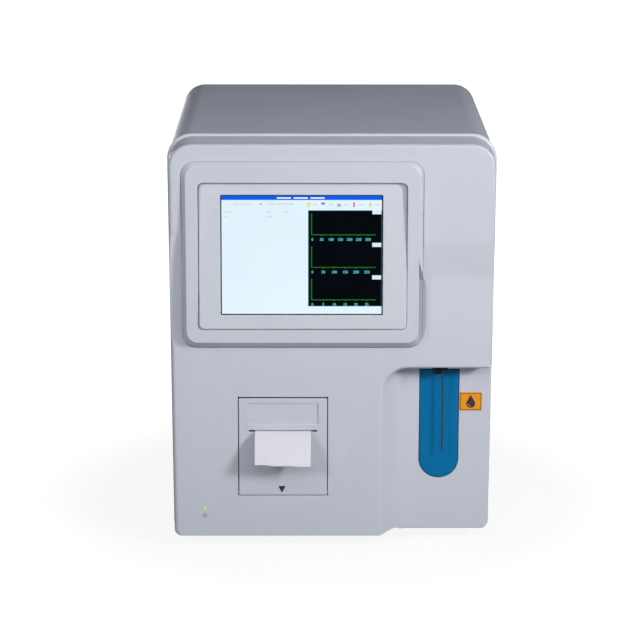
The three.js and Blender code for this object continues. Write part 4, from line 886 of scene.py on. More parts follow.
# The bead: how long it is, then its section as (distance to the rear edge, share of its height sunk in)
BEAD_LENGTH = 3.2
BEAD_SECTION = [(2.7, 0.55), (2.2, 0.2), (1.6, 0.02), (1.1, 0.0), (0.5, 0.1), (0.0, 0.6)]
# Depths of the plain rings between the face's edge and the bead
FLANK_DEPTHS = (14.0, 20.0)


def shell_outside(bead):
    """The moulding from its face back: broad round sides, a tight round above, then a bead at the rear."""
    rings = []
    start = RIM_DEPTH - BEAD_LENGTH
    side_in, top_in, foot_in = EDGE_IN

    def waist(y):
        return bead * min(y / EDGE_DEEP, 1)

    def ring(y, side, top, foot):
        slope = bead + (TOP_SLOPE - bead) * (1 - y / start)
        outline = case_outline(
            side + waist(y), top + slope, foot, RIM_CORNER - side, max(LOWER_CORNER - foot, 1))
        rings.append(at_depth(outline, y))

    steps = 12
    for i in range(steps + 1):
        turn = math.pi / 2 * i / steps
        y = EDGE_DEEP * (1 - math.cos(turn))
        around = 1 - math.sin(turn)
        above = 1 - math.sin(math.acos(max(0, 1 - y / top_in)))
        ring(y, side_in * around, top_in * above, foot_in * around)
    for y in (*FLANK_DEPTHS, start):
        ring(y, 0, 0, 0)
    for back, share in BEAD_SECTION:
        inset = bead * share
        rings.append(at_depth(case_outline(inset, inset, 0, RIM_CORNER, LOWER_CORNER), RIM_DEPTH - back))
    return stack("front_moulding", rings)


def wall_profile(round_edge, blend, margin):
    """Pairs of (X, depth) down the recess's left wall: rounded at the face, blended in at the panel."""
    slope = math.atan2(RECESS_DEPTH, RECESS_INNER - RECESS_LEFT)
    first = RECESS_LEFT - round_edge * math.tan(slope / 2)
    last = RECESS_INNER + blend * math.tan(slope / 2)
    edge_steps, blend_steps = 8, 12
    pairs = []
    for i in range(edge_steps + 1):
        t = slope * i / edge_steps
        pairs.append((first + round_edge * math.sin(t), round_edge * (1 - math.cos(t))))
    for i in range(blend_steps + 1):
        t = slope * (1 - i / blend_steps)
        pairs.append((last - blend * math.sin(t), RECESS_DEPTH - blend * (1 - math.cos(t))))
    return [(x - margin, y + margin) for x, y in pairs]


# The underside's cut: where it starts, is highest and ends, and how high it rises
FOOT_LEFT, FOOT_MIDDLE, FOOT_RIGHT, FOOT_RISE = 46.7, 56.2, 71.0, 5.4
# The lip's rounded right end: its radius, and how far it stays inside the moulding's side
LIP_CORNER, LIP_INSET = 5.0, 2


def foot_rise(x):
    """How far the recess's underside is cut up at x: round at the left, then down again to the right."""
    if x <= FOOT_MIDDLE:
        share = (x - FOOT_LEFT) / (FOOT_MIDDLE - FOOT_LEFT)
        return FOOT_RISE * (1 - math.sqrt(max(0, 1 - share * share)))
    return FOOT_RISE * max(0, 1 - (x - FOOT_MIDDLE) / (FOOT_RIGHT - FOOT_MIDDLE))


def recess_outline(left, corner, top):
    """The recess from the front: open to the right and below, its foot cut up to the left."""
    right, low, lip = HALF_WIDE + CLEAR, BASE_Z - CLEAR, HALF_WIDE - LIP_INSET
    corners = [(right, low), (right, top + LIP_CORNER), (lip, top + LIP_CORNER), (lip, top), (left, top),
               (left, low)]
    points = rounded(corners, [0, 0, 0, 0, corner, 0], 14)[:-1]
    lip_turns = [math.pi / 2 * i / 6 for i in range(1, 7)]
    points[3:4] = [(lip - LIP_CORNER * (1 - math.cos(turn)), top + LIP_CORNER * (1 - math.sin(turn)))
                   for turn in lip_turns]
    steps = 14
    for i in range(steps + 1):
        x = left + (FOOT_LEFT - left) * math.sin(math.pi / 2 * i / steps)
        points.append((x, BASE_Z + 0.1 + foot_rise(x)))
    points.append((FOOT_LEFT, low))
    return points


def recess_cutter(settings, margin=0.0):
    """The tool for the recess, from the lip at the face to its panel."""
    lip = settings.lip_round / MM
    pairs = wall_profile(settings.recess_round / MM, settings.recess_blend / MM, margin)
    rings = [at_depth(recess_outline(pairs[0][0], RECESS_CORNER, RECESS_CEILING + lip + margin), -CLEAR)]
    for x, y in pairs:
        share = min(max(y, 0) / RECESS_DEPTH, 1)
        corner = RECESS_CORNER - (RECESS_CORNER - PANEL_CORNER) * share
        open_by = lip * (1 - math.sqrt(max(0, 1 - (1 - min(max(y, 0) / lip, 1)) ** 2)))
        rings.append(at_depth(recess_outline(x, corner, RECESS_CEILING + open_by + margin), y))
    past_panel = 5
    last = recess_outline(pairs[-1][0], PANEL_CORNER, RECESS_CEILING + margin)
    rings.append(at_depth(last, RECESS_DEPTH + past_panel + margin))
    return stack("recess_room", rings)


def recess_back():
    """What stays behind the recess: its panel, with its own rounded outer edges."""
    side_in, foot_in, corner_in, corner = 3.2, 1.6, 1.2, 8
    rings = []
    steps = 8
    for i in range(steps + 1):
        turn = math.pi / 2 * i / steps
        left = 1 - math.sin(turn)
        outline = case_outline(side_in * left, 0, foot_in * left, corner, LOWER_CORNER - corner_in * left)
        rings.append(at_depth(outline, RECESS_DEPTH + side_in * (1 - math.cos(turn))))
    rings.append(at_depth(case_outline(0, 0, 0, corner, LOWER_CORNER), RIM_DEPTH + CLEAR))
    return stack("recess_back", rings)


FOLD_TOP, FOLD_SHOULDER, FOLD_CREASE = BASE_Z + 309.0, BASE_Z + 301.0, BASE_Z + 272.0
POD_FOOT, POD_HEAD = BASE_Z + 201.0, BASE_Z + 391.1
POD_PROUD_FOOT, POD_PROUD_HEAD, POD_SUNK = 12.0, 3.5, 0.8
# How far the pod's walls slant in at the sides, the foot and the head
POD_SIDE_IN, POD_FOOT_IN, POD_HEAD_IN, POD_CORNER = 4.5, 8.1, 4.1, 14
POD_SLOPE = (POD_PROUD_FOOT - POD_PROUD_HEAD) / (POD_HEAD - POD_FOOT)


def pod_face(z):
    """The depth of the pod's tilted face at a height."""
    return (z - POD_HEAD) * POD_SLOPE - POD_PROUD_HEAD


# The fold's section from its top down: how deep it is, and at which height
FOLD_MARKS = [(0, FOLD_TOP + 3), (0.35, FOLD_TOP), (1.1, FOLD_SHOULDER + 3), (1.75, FOLD_SHOULDER - 2),
              (4.55, FOLD_CREASE + 5), (4.95, FOLD_CREASE + 2), (5, FOLD_CREASE - 1), (4.8, FOLD_CREASE - 5),
              (0.25, RECESS_CEILING + 6), (0, RECESS_CEILING)]


def fold_depth(z):
    """How deep the fold is at a height."""
    for (deep, high), (next_deep, low) in zip(FOLD_MARKS, FOLD_MARKS[1:]):
        if low <= z <= high:
            return deep + (next_deep - deep) * (high - z) / (high - low)
    return 0.0


def fold_cutter(margin=0.0):
    """The shallow V right of the screen, fading out beside the screen's pod."""
    start, span, faint, steps = 74.0, 25.0, 0.02, 12

    def section(x, share):
        points = [(-CLEAR, FOLD_TOP + 4 + margin), (margin - 0.02, FOLD_TOP + 4 + margin)]
        points += [(depth * share + margin, z) for depth, z in FOLD_MARKS]
        points.append((-CLEAR, RECESS_CEILING - 0.01))
        return at_side(points, x)

    rings = [section(start, faint)]
    for i in range(1, steps + 1):
        t = i / steps
        rings.append(section(start + span * t, faint + (1 - faint) * t * t * (3 - 2 * t)))
    rings.append(section(HALF_WIDE + CLEAR, 1))
    return stack("fold_room", rings)


# Heights above the base, and how wide the groove right of the pod is there
GROOVE = [(295, 0.05), (288, 1.2), (282, 2.8), (276, 4.6), (270, 6.6), (262, 8.0), (245, 8.3), (228, 8.0),
          (219, 7.2), (212, 5.6), (206, 3.6), (202, 0.5)]
# How far inside the pod's right edge it starts, its depth for each millimetre of width, and its deepest point
GROOVE_START, GROOVE_STEEP, GROOVE_DEEPEST = 4.35, 0.65, 8.6
# The share of the fold's depth that its outer edge follows, and how far right of the pod it reaches that
GROOVE_FOLLOWS, GROOVE_EASE = 0.93, 1.5


def side_groove():
    """The tool for the groove right of the pod, sharp at the pod and running out on the face."""
    right = millimetres("screen_surround")[1][0]
    left = right - GROOVE_START
    above_pod, above_face, outside = 0.05, 0.02, -40
    rings = []
    for height, wide in GROOVE:
        z = BASE_Z + height
        x = left + wide
        face, sunk = pod_face(z), GROOVE_FOLLOWS * fold_depth(z)
        if x < right:
            y = face + (x - right + POD_SIDE_IN) / POD_SIDE_IN * (POD_SUNK - face) - above_pod
        else:
            y = POD_SUNK + (sunk - POD_SUNK) * min((x - right) / GROOVE_EASE, 1) - above_face
        deep = min(y + GROOVE_STEEP * wide, GROOVE_DEEPEST)
        rings.append([(left, outside, z), (left, deep, z), (x, y, z), (x, outside, z)])
    return stack("side_groove", rings)


# The sunk strip left of the pod, from its top down: how deep it is, and at which height
LEFT_FOLD_MARKS = [(0, FOLD_TOP + 14), (1.2, FOLD_TOP + 4), (2.8, FOLD_TOP - 10), (3.6, FOLD_TOP - 28),
                   (3.6, POD_FOOT + 30), (2.2, POD_FOOT + 12), (0.6, POD_FOOT + 3), (0, POD_FOOT)]
LEFT_FOLD_END = -140.0


def left_fold_cutter(margin=0.0):
    """The face left of the pod lies a little deeper from the fold's top down to the pod's foot."""
    points = [(-CLEAR, FOLD_TOP + 15), (margin - 0.02, FOLD_TOP + 15)]
    points += [(depth + margin, z) for depth, z in LEFT_FOLD_MARKS]
    points.append((-CLEAR, POD_FOOT - 0.01))
    return stack("left_fold_room", [at_side(points, x) for x in (-HALF_WIDE - CLEAR, LEFT_FOLD_END)])


# The radius of the bore for the door's pin
PIN_ROOM = 1.3


def key_outline(margin):
    """The key's outline from the front, grown by a margin: square above and half round below."""
    low, high = millimetres("aspirate_key")
    radius = (high[0] - low[0]) / 2 + margin
    middle = (low[0] + high[0]) / 2
    centre_z = low[2] + radius - margin
    points = [(middle + radius, high[2] + margin), (middle - radius, high[2] + margin)]
    steps = 32
    for i in range(steps + 1):
        t = math.pi + math.pi * i / steps
        points.append((middle + radius * math.cos(t), centre_z + radius * math.sin(t)))
    return points


def hinge_bosses():
    """Two blocks on each side of the door's opening: one carries the pin, one stands near the top."""
    pin_z = middle_of(*millimetres("printer_hinge_pin"), 2)[0]
    door_low, door_high = millimetres("printer_door")
    wide, high, back, gap = 7, 8, 6, 0.6
    feet = (pin_z - high / 2, door_high[2] - 6.7)
    return [box("boss", (x, x + wide), (SHELL_WALL - 0.3, back), (z, z + high))
            for x in (door_low[0] - gap - wide, door_high[0] + gap) for z in feet]


def shell_hollow(settings):
    """The room inside the moulding, which keeps clear of every sunk form of its face."""
    corner, foot_corner, floor = RIM_CORNER - SHELL_WALL, LOWER_CORNER - 2.7, 3.6
    # In at the sides, in at the top, and the depth, from behind the face to past the rear
    sections = [(9, 9.5, SHELL_WALL), (5, 7.5, 11), (4.4, 4.8, RIM_DEPTH - 1), (4.4, 4.8, RIM_DEPTH + 4)]
    hollow = stack("hollow", [
        at_depth(case_outline(side, top, floor, corner, foot_corner), y) for side, top, y in sections])
    return cut(hollow, recess_cutter(settings, SHELL_WALL), fold_cutter(SHELL_WALL),
               left_fold_cutter(SHELL_WALL))


def door_rooms():
    """The tools for the door's opening, with its eased edge and its four drilled corners, and its pin."""
    door_low, door_high = millimetres("printer_door")
    x, z = (door_low[0] - 0.9, door_high[0] + 0.9), (door_low[2] - 0.8, door_high[2] + 1.5)
    edge = [(0.5, -4), (0.5, 0), (0.15, 0.15), (0, 0.5), (0, SHELL_WALL + 6)]
    pin = middle_of(*millimetres("printer_hinge_pin"), 1, 2)
    opening = flared("door_room", x, z, 1.2, 5, edge)
    pin_room = rod("pin_room", "x", PIN_ROOM, (x[0] - 6.7, x[1] + 9), pin, 20)
    drilled = [turned("notch", [(1.5, -4), (1.5, 1.2), (0.9, 1.6)], "y", (a, b), 20)
               for a in (x[0] + 0.6, x[1] - 0.6) for b in (z[0] + 0.6, z[1] - 0.6)]
    return opening, pin_room, drilled


def key_room():
    """The tool for the key's opening, with a wider step at the panel's face."""
    steps = [(1.1, -4), (1.1, 0), (0.6, 0.5), (0.6, 8)]
    return stack("key_room", [at_depth(key_outline(wider), RECESS_DEPTH + deep) for wider, deep in steps])


def front_moulding(settings):
    """The moulded face with its recess, fold and openings, hollow behind."""
    shell = shell_outside(settings.bead / MM)
    cut(shell, shell_hollow(settings))
    room = recess_cutter(settings)
    cut(room, recess_back())
    cut(shell, room, fold_cutter(), left_fold_cutter(), side_groove())
    fuse(shell, *hinge_bosses())
    fit = 0.3
    pod_low, pod_high = millimetres("screen_surround")
    pod = rounded_box(
        pod_low[0] - fit, pod_high[0] + fit, pod_low[2] - fit, pod_high[2] + fit, POD_CORNER + fit)
    led = middle_of(*millimetres("power_led"), 0, 2)
    wash_low, wash_high = millimetres("wash_block")
    opening, pin_room, drilled = door_rooms()
    cut(
        shell,
        stack("pod_room", [at_depth(pod, -4), at_depth(pod, RIM_DEPTH)]),
        opening,
        pin_room,
        rod("led_room", "y", 1.95, (-4, SHELL_WALL + 4), led, 24),
        key_room(),
        box("wash_room", (wash_low[0] - fit, wash_high[0] + fit), (wash_low[1] - fit, wash_high[1] + fit),
            (RECESS_CEILING - 2, wash_high[2])),
    )
    cut(shell, *drilled)
    return soften(without_doubled_faces(shell), sharp=30)


def door_seal():
    """A black strip just behind the door's gap, along its head and both sides, that shows in the gap as
    painted shade.
    """
    (x0, _, _), (x1, _, z1) = millimetres("printer_door")
    pin_top = millimetres("printer_hinge_pin")[1][2]
    front, back, wide, outside, above, over_pin = 3.0, 3.9, 3.4, 1.6, 2.2, 12
    left, right, top, foot = x0 - outside, x1 + outside, z1 + above, pin_top + over_pin
    ring = [(left, foot), (left, top), (right, top), (right, foot), (right - wide, foot),
            (right - wide, top - wide), (left + wide, top - wide), (left + wide, foot)]
    return soften(stack("door_seal", [at_depth(ring, front), at_depth(ring, back)]), 0.2, 2)


# Screen

# The bezel tilts a little further than the pod's face, and is flush with it at one height
BEZEL_TILT = -math.atan(POD_SLOPE) - math.radians(3.4)
FLUSH_Z = BASE_Z + 270.0


def on_pod(outline, behind):
    """An outline set down a little behind the pod's tilted face."""
    return [(x, pod_face(z) + behind, z) for x, z in outline]


def tilted():
    """The turn that takes the bezel's own drawing to its place on the pod."""
    return Matrix.Translation((0, pod_face(FLUSH_Z), FLUSH_Z)) @ Matrix.Rotation(BEZEL_TILT, 4, "X")


def on_bezel(foot, head):
    """Two heights above the base, measured from where the bezel is flush."""
    return (BASE_Z + foot - FLUSH_Z, BASE_Z + head - FLUSH_Z)


BEZEL_X, BEZEL_Z, BEZEL_CORNER = (-132.7, 74.6), on_bezel(223.3, 370.4), 5
GLASS_X, GLASS_Z = (-111.0, 50.5), on_bezel(237.8, 358.0)
PICTURE_X, PICTURE_Z = (-109.8, 49.4), on_bezel(238.9, 357.2)
# How far the glass reaches behind the bezel, and how much more room the bezel leaves it
GLASS_RING, GLASS_FIT = 5.0, 0.3
# The pod's edge, from the flat face to the wall: (how far in, how deep)
POD_EDGE = [(0.45, 0), (0.16, 0.05)]
# The hole for the bezel: (how much wider than the bezel, how far behind the pod's face)
POD_HOLE_EDGE = [(3.0, -3), (1.5, -0.4), (1.3, -0.02), (0.9, 0.15), (0.65, 0.6), (0.55, 1.4)]
# The bezel's mouth: (how much wider than the glass that shows, how deep)
BEZEL_MOUTH = [(1.1, -4), (0.8, -0.02), (0.45, 0.15), (0.1, 0.6), (0, 1.1), (0, 9)]


def screen_pod():
    """The tilted block round the screen: a flat face with crisp edges and slanting walls."""
    (x0, _, z0), (x1, y1, z1) = millimetres("screen_surround")

    def outline(share, more=0.0):
        side = POD_SIDE_IN * share
        return rounded_box(
            x0 + side + more, x1 - side - more, z0 + POD_FOOT_IN * share + more,
            z1 - POD_HEAD_IN * share - more, POD_CORNER - side / 2 - more, 14)

    def wall(share):
        """The wall's ring at a share of its run from the face's edge to its root."""
        edge, root = on_pod(outline(1), 0), at_depth(outline(0), POD_SUNK)
        return [Vector(a).lerp(Vector(b), share) for a, b in zip(edge, root)]

    def hole(margin):
        return rounded_box(
            BEZEL_X[0] - margin, BEZEL_X[1] - 0.3 + margin, FLUSH_Z + BEZEL_Z[0] - margin,
            FLUSH_Z + BEZEL_Z[1] - 0.35 + margin, BEZEL_CORNER + margin, 10)

    rings = [on_pod(outline(1, inset), behind) for inset, behind in POD_EDGE]
    rings += [wall(share) for share in (0.03, 0.08, 0.92, 0.98)]
    rings += [at_depth(outline(0), POD_SUNK + 0.5), at_depth(outline(0), y1)]
    outside = stack("screen_pod", rings)
    narrowest = POD_HOLE_EDGE[-1][0]
    hole_rings = [on_pod(hole(margin), behind) for margin, behind in POD_HOLE_EDGE]
    inside = stack("pod_hole", hole_rings + [at_depth(hole(narrowest), y1 + 4)])
    return soften(cut(outside, inside, side_groove()), sharp=25)


def screen_bezel(settings):
    """The bezel, drawn upright and then tilted, with the room for the glass behind its mouth."""
    turn = tilted()
    thick, glass_front = 6, 1.4

    def outline(inset):
        return rounded_box(BEZEL_X[0] + inset, BEZEL_X[1] - inset, BEZEL_Z[0] + inset, BEZEL_Z[1] - inset,
                           BEZEL_CORNER, 10)

    body = plate("screen_frame", outline, 0, thick, front=settings.edge_round / MM, turn=turn)
    window = flared("window", GLASS_X, GLASS_Z, 0.8, 6, BEZEL_MOUTH, turn)
    ring = GLASS_RING + GLASS_FIT
    back = box("back_room", (GLASS_X[0] - ring, GLASS_X[1] + ring), (glass_front, thick + 3),
               (GLASS_Z[0] - ring, GLASS_Z[1] + ring), turn)
    return soften(cut(body, window, back), sharp=35)


# Patches of the picture: finish, layer, left, right, bottom, top, as shares of its width and height
PATCHES = [
    ("page", 0, 0.0, 1.0, 0.0, 0.965), ("title", 0, 0.0, 1.0, 0.965, 1.0),
    ("plot_edge", 1, 0.540, 1.0, 0.064, 0.878), ("plot", 2, 0.546, 0.996, 0.070, 0.872),
    ("tag", 3, 0.941, 0.997, 0.845, 0.880), ("tag", 3, 0.941, 0.997, 0.569, 0.604),
    ("tag", 3, 0.941, 0.997, 0.293, 0.328),
    ("yellow", 1, 0.534, 0.552, 0.906, 0.946), ("violet", 1, 0.622, 0.645, 0.926, 0.944),
    ("word", 1, 0.720, 0.746, 0.908, 0.934), ("red", 1, 0.820, 0.832, 0.906, 0.946),
    ("lime", 1, 0.920, 0.936, 0.908, 0.944),
]
# Rows of bars that stand where the screen has words: finish, left, right, middle height, bars
BAR_ROWS = [
    ("light", 0.345, 0.66, 0.9815, 3), ("faint", 0.07, 0.195, 0.929, 3), ("word", 0.236, 0.256, 0.929, 1),
    ("faint", 0.286, 0.46, 0.932, 3), ("faint", 0.57, 0.60, 0.926, 1), ("faint", 0.665, 0.71, 0.926, 1),
    ("faint", 0.762, 0.80, 0.926, 1), ("faint", 0.855, 0.895, 0.926, 1), ("faint", 0.948, 0.99, 0.926, 1),
    ("faint", 0.017, 0.07, 0.862, 1), ("faint", 0.017, 0.035, 0.826, 1), ("faint", 0.28, 0.315, 0.865, 1),
    ("faint", 0.28, 0.32, 0.826, 1), ("faint", 0.39, 0.42, 0.862, 1),
]
# The plots: the axis's height, the plot's top, and the numbers along the axis
PLOTS = [
    (0.668, 0.850, (0, 50, 100, 150, 200, 250, 300)),
    (0.392, 0.573, (0, 50, 100, 150, 200, 250)),
    (0.116, 0.300, (0, 5, 10, 15, 20, 25)),
]
AXIS_X = (0.559, 0.965)
# The picture's layers lie this far apart, and its front layer this far behind the bezel's face
LAYER_STEP, LAYER_THICK, PICTURE_FRONT = 0.03, 0.02, 1.7
NUMBER_HIGH, NUMBER_BOLD, NUMBER_THICK, NUMBER_PROUD = 3.8, 0.05, 0.01, 0.12


def picture_place(u, v):
    """A place in the picture from its shares of the width and height."""
    (left, right), (foot, top) = PICTURE_X, PICTURE_Z
    return (left + (right - left) * u, foot + (top - foot) * v)


def patch(name, layer, u0, u1, v0, v1):
    """One flat patch of the picture, a hair in front of the layer under it."""
    (x0, z0), (x1, z1) = picture_place(u0, v0), picture_place(u1, v1)
    y = PICTURE_FRONT - LAYER_STEP * layer
    obj = box("patch_" + name, (x0, x1), (y - LAYER_THICK, y), (z0, z1), tilted())
    obj.data.materials.append(finish(name))
    return obj


def number_mesh(value):
    """A number's flat mesh, drawn at the origin."""
    curve = bpy.data.curves.new("number", "FONT")
    curve.body = str(value)
    curve.size = NUMBER_HIGH * MM
    curve.offset = NUMBER_BOLD * MM
    curve.extrude = NUMBER_THICK * MM
    curve.align_x = "CENTER"
    text = bpy.data.objects.new("number", curve)
    bpy.context.scene.collection.objects.link(text)
    graph = bpy.context.evaluated_depsgraph_get()
    mesh = bpy.data.meshes.new_from_object(text.evaluated_get(graph), depsgraph=graph)
    bpy.data.objects.remove(text)
    return mesh


def number_row(values, u_places, v):
    """The numbers under one plot's axis."""
    made_numbers = []
    turn, front = tilted(), PICTURE_FRONT - NUMBER_PROUD
    for value, u in zip(values, u_places):
        mesh = number_mesh(value)
        x, z = picture_place(u, v)
        points = [
            turn @ Vector((x + vertex.co.x / MM, front - vertex.co.z / MM, z + vertex.co.y / MM))
            for vertex in mesh.vertices]
        faces = [list(face.vertices) for face in mesh.polygons]
        bpy.data.meshes.remove(mesh)
        obj = made("number", points, faces)
        obj.data.materials.append(finish("number"))
        made_numbers.append(obj)
    return made_numbers


def bar_row(name, left, right, middle, count):
    """Bars in a row, each as wide as most of its share."""
    filled, half = 0.84, 0.006
    wide = (right - left) / count
    starts = [left + wide * i for i in range(count)]
    return [patch(name, 2, start, start + wide * filled, middle - half, middle + half) for start in starts]


def plot_axes(foot, top, values):
    """A plot's two axes with the ticks and numbers under the lower one."""
    left, right = AXIS_X
    line_wide, line_high, tick_half, tick_long = 0.006, 0.007, 0.0025, 0.008
    first, used, spare, number_drop = 0.008, 0.94, 0.4, 0.047
    step = (right - left) * used / (len(values) - spare)
    places = [left + first + step * i for i in range(len(values))]
    parts = [patch("axis", 3, left, left + line_wide, foot, top),
             patch("axis", 3, left, right, foot, foot + line_high)]
    parts += [patch("axis", 3, u - tick_half, u + tick_half, foot - tick_long, foot) for u in places[1:]]
    return parts + number_row(values, places, foot - number_drop)


def screen_picture():
    """What the screen shows, as thin patches of light."""
    parts = [patch(*row) for row in PATCHES]
    for row in BAR_ROWS:
        parts += bar_row(*row)
    for row in PLOTS:
        parts += plot_axes(*row)
    return gather("screen_picture", parts)


def touch_panel():
    """The glass over the picture, whose rim lies behind the bezel."""
    front, back, corner, edge = 1.7, 3.5, 1.5, 0.3

    def outline(inset):
        reach = GLASS_RING
        return rounded_box(GLASS_X[0] - reach + inset, GLASS_X[1] + reach - inset,
                           GLASS_Z[0] - reach + inset, GLASS_Z[1] + reach - inset, corner, 4)

    return soften(plate("touch_screen", outline, front, back, front=edge, back=edge, turn=tilted()))


# Cover

def steel_cover():
    """The folded sheet cover, open below, with its rolled ends and the holes for its screws."""
    front, back = millimetres("top_cover")[0][1], millimetres("top_cover")[1][1]
    inset_in_rim, hem, wall, eased, hole_radius = 1.5, 0.7, 2, 0.5, 1.8

    def outline(inset):
        inset += inset_in_rim
        return case_outline(inset, inset, -CLEAR, RIM_CORNER - inset, CORNER_RADIUS)

    outside = plate("steel_cover", outline, front, back, front=hem, back=hem)
    lining = [(wall - eased, front - 4), (wall - eased, front), (wall, front + eased), (wall, back - eased),
              (wall - eased, back), (wall - eased, back + 4)]
    inside = stack("inside", [at_depth(outline(inset), y) for inset, y in lining])
    below = box("below", (-200, 200), (0, back + 10), (BASE_Z - 20, BASE_Z))
    cut(outside, inside, below)
    across = (-HALF_WIDE - 5, HALF_WIDE + 5)
    places = [middle_of(*millimetres(name), 1, 2) for name in ("side_screw_left_1", "side_screw_left_2")]
    return soften(cut(outside, *[rod("hole", "x", hole_radius, across, at, 20) for at in places]), sharp=30)


# Printer

SLOT_Z, SLOT_HALF, SLOT_OPEN = BASE_Z + 112.8, 34.8, 0.9
WINDOW_HALF, WINDOW_Z = 35.2, (BASE_Z + 120.5, BASE_Z + 141.4)
WINDOW_EDGE = [(1.1, -3), (1.1, -0.01), (0.5, 0.35), (0, 1.3)]
# The thin line round the window and slot: half as wide as it reaches across, how far its foot lies below
# the slot, the height of its top, and how wide the line is
FRAME_HALF, FRAME_FOOT, FRAME_TOP, FRAME_LINE = 37.4, 2.6, BASE_Z + 143.4, 0.5


def printer_door(settings):
    """The printer's door with its shallow window, the paper's slot, the line round both and its hinge."""
    (x0, _, z0), (x1, _, z1) = millimetres("printer_door")
    thick, corner, knuckle_radius, back_edge = 2.6, 0.9, 2.5, 0.3
    pin = middle_of(*millimetres("printer_hinge_pin"), 1, 2)

    def outline(inset):
        return rounded_box(x0 + inset, x1 - inset, z0 + inset, z1 - inset, corner, 5)

    panel = plate("printer_flap", outline, 0, thick, front=settings.door_round / MM, back=back_edge)
    fuse(panel, rod("knuckle", "x", knuckle_radius, (x0, x1), pin, 32))
    middle = (x0 + x1) / 2

    def mouth(name, half, heights, section):
        return flared(name, (middle - half, middle + half), heights, 0.7, 5, section)

    slot_z = (SLOT_Z - SLOT_OPEN, SLOT_Z + SLOT_OPEN)
    slot_edge = [(0.9, -3), (0.9, -0.01), (0.3, 0.3), (0, 0.9), (0, thick + 4)]
    window = mouth("window", WINDOW_HALF, WINDOW_Z, WINDOW_EDGE)
    slot = mouth("slot", SLOT_HALF, slot_z, slot_edge)
    frame_z = (slot_z[0] - FRAME_FOOT, FRAME_TOP)
    inner_z = (frame_z[0] + FRAME_LINE, frame_z[1] - FRAME_LINE)
    line = mouth("frame_line", FRAME_HALF, frame_z, [(0.25, -1), (0.25, 0.12)])
    cut(line, mouth("island", FRAME_HALF - FRAME_LINE, inner_z, [(0, -2), (0, 2)]))
    pin_room = rod("pin_room", "x", PIN_ROOM, (x0 - 4, x1 + 4), pin, 20)
    return soften(cut(panel, window, slot, line, pin_room), sharp=34)


def door_mark():
    """The triangle that shows where the door is pulled."""
    middle, half, tip, top, corner = -50.6, 3.8, BASE_Z + 46.8, BASE_Z + 54.2, 0.5
    outline = rounded([(middle, tip), (middle + half, top), (middle - half, top)], [corner] * 3, 4)
    return stack("pull_mark", [at_depth(outline, -0.04), at_depth(outline, 0.06)])


def droop(reach, hang, back, rows):
    """The strip's line from inside the slot to its free end, as depths and heights."""
    in_slot = 0.12
    bends = [(0, SLOT_Z), (-reach * 0.45, SLOT_Z - 3), (-reach * 0.8, hang + 13), (-reach, hang + 1.2)]
    line = []
    for i in range(rows + 1):
        t = i / rows
        if t < in_slot:
            line.append((back * (1 - t / in_slot), SLOT_Z))
            continue
        s = (t - in_slot) / (1 - in_slot)
        weights = ((1 - s) ** 3, 3 * s * (1 - s) ** 2, 3 * s * s * (1 - s), s ** 3)
        line.append([sum(weight * bend[axis] for weight, bend in zip(weights, bends)) for axis in (0, 1)])
    return line


def paper_strip(settings):
    """The strip that hangs from the slot: it droops, curls across and ends in a torn edge."""
    low, high = millimetres("paper_tongue")
    middle, half = (low[0] + high[0]) / 2, (high[0] - low[0]) / 2
    reach, hang, back = -low[1] - 0.6, low[2], high[1]
    columns, rows, flat_share = 48, 40, 0.2
    cupped, twisted, narrowed = 1.3, 0.5, 0.4
    ragged, slanted, waved = 0.3, 1.1, 0.45
    outer = []
    for i, (y, z) in enumerate(droop(reach, hang, back, rows)):
        share = max(0, (i / rows - flat_share) / (1 - flat_share))
        for j in range(columns + 1):
            u = j / columns * 2 - 1
            curl = cupped * share * (u * u - 0.35) + twisted * share * math.sin(2.3 * u + 3 * share)
            tear = 0.0
            if i == rows:
                tear = ragged * (j % 2) - slanted * (0.5 + 0.5 * u) + waved * math.sin(6.5 * u)
            x = middle + (half - narrowed * share) * u
            outer.append((x, min(y + curl, back), max(z + tear, hang)))
    faces = []
    across = columns + 1
    for i in range(rows):
        for j in range(columns):
            a = i * across + j
            faces.append([a, a + 1, a + 1 + across, a + across])
    obj = made("paper_strip", outer, faces)
    shell = obj.modifiers.new("sheet", "SOLIDIFY")
    shell.thickness = settings.paper_thickness
    shell.offset = 0
    return smooth(bake(obj), 40)


# Recess

def aspirate_key(settings):
    """The blue key with its slightly domed face, on two pegs."""
    low, high = millimetres("aspirate_key")
    front, thick = low[1], 4
    dome_rings = [(6.5, 0.0), (4.0, 0.12)]
    edge_rings = [(inset, 0.25 + depth) for inset, depth in quarter(settings.key_round / MM)]
    rings = [at_depth(key_outline(-inset), front + depth) for inset, depth in dome_rings + edge_rings]
    rings.append(at_depth(key_outline(0), front + thick))
    body = stack("aspirate_button", rings)
    middle = (low[0] + high[0]) / 2
    peg_radius, peg_inset = 2.5, 34
    pegs = [rod("peg", "y", peg_radius, (front + thick - 0.5, high[1]), (middle, z), 24, edge=0.4)
            for z in (low[2] + peg_inset, high[2] - peg_inset)]
    return soften(fuse(body, *pegs), sharp=32)


def wash_station():
    """The block that washes the needle, with a lower nose left of it and the bore that the needle runs in."""
    (x0, y0, z0), (x1, y1, z1) = millimetres("wash_block")
    at = middle_of(*millimetres("sample_needle"), 0, 1)
    bore_radius = 1.6
    body = box("wash_station", (x0, x1), (y0, y1), (z0 + 6.5, z1))
    fuse(body, box("nose", (at[0] - 9, at[0] - 1), (y0, y1), (z0 + 2.2, z0 + 8)))
    soften(body, 0.5, 2)
    return soften(cut(body, rod("bore", "z", bore_radius, (z0 - 4, z1 + 4), at, 24)), sharp=32)


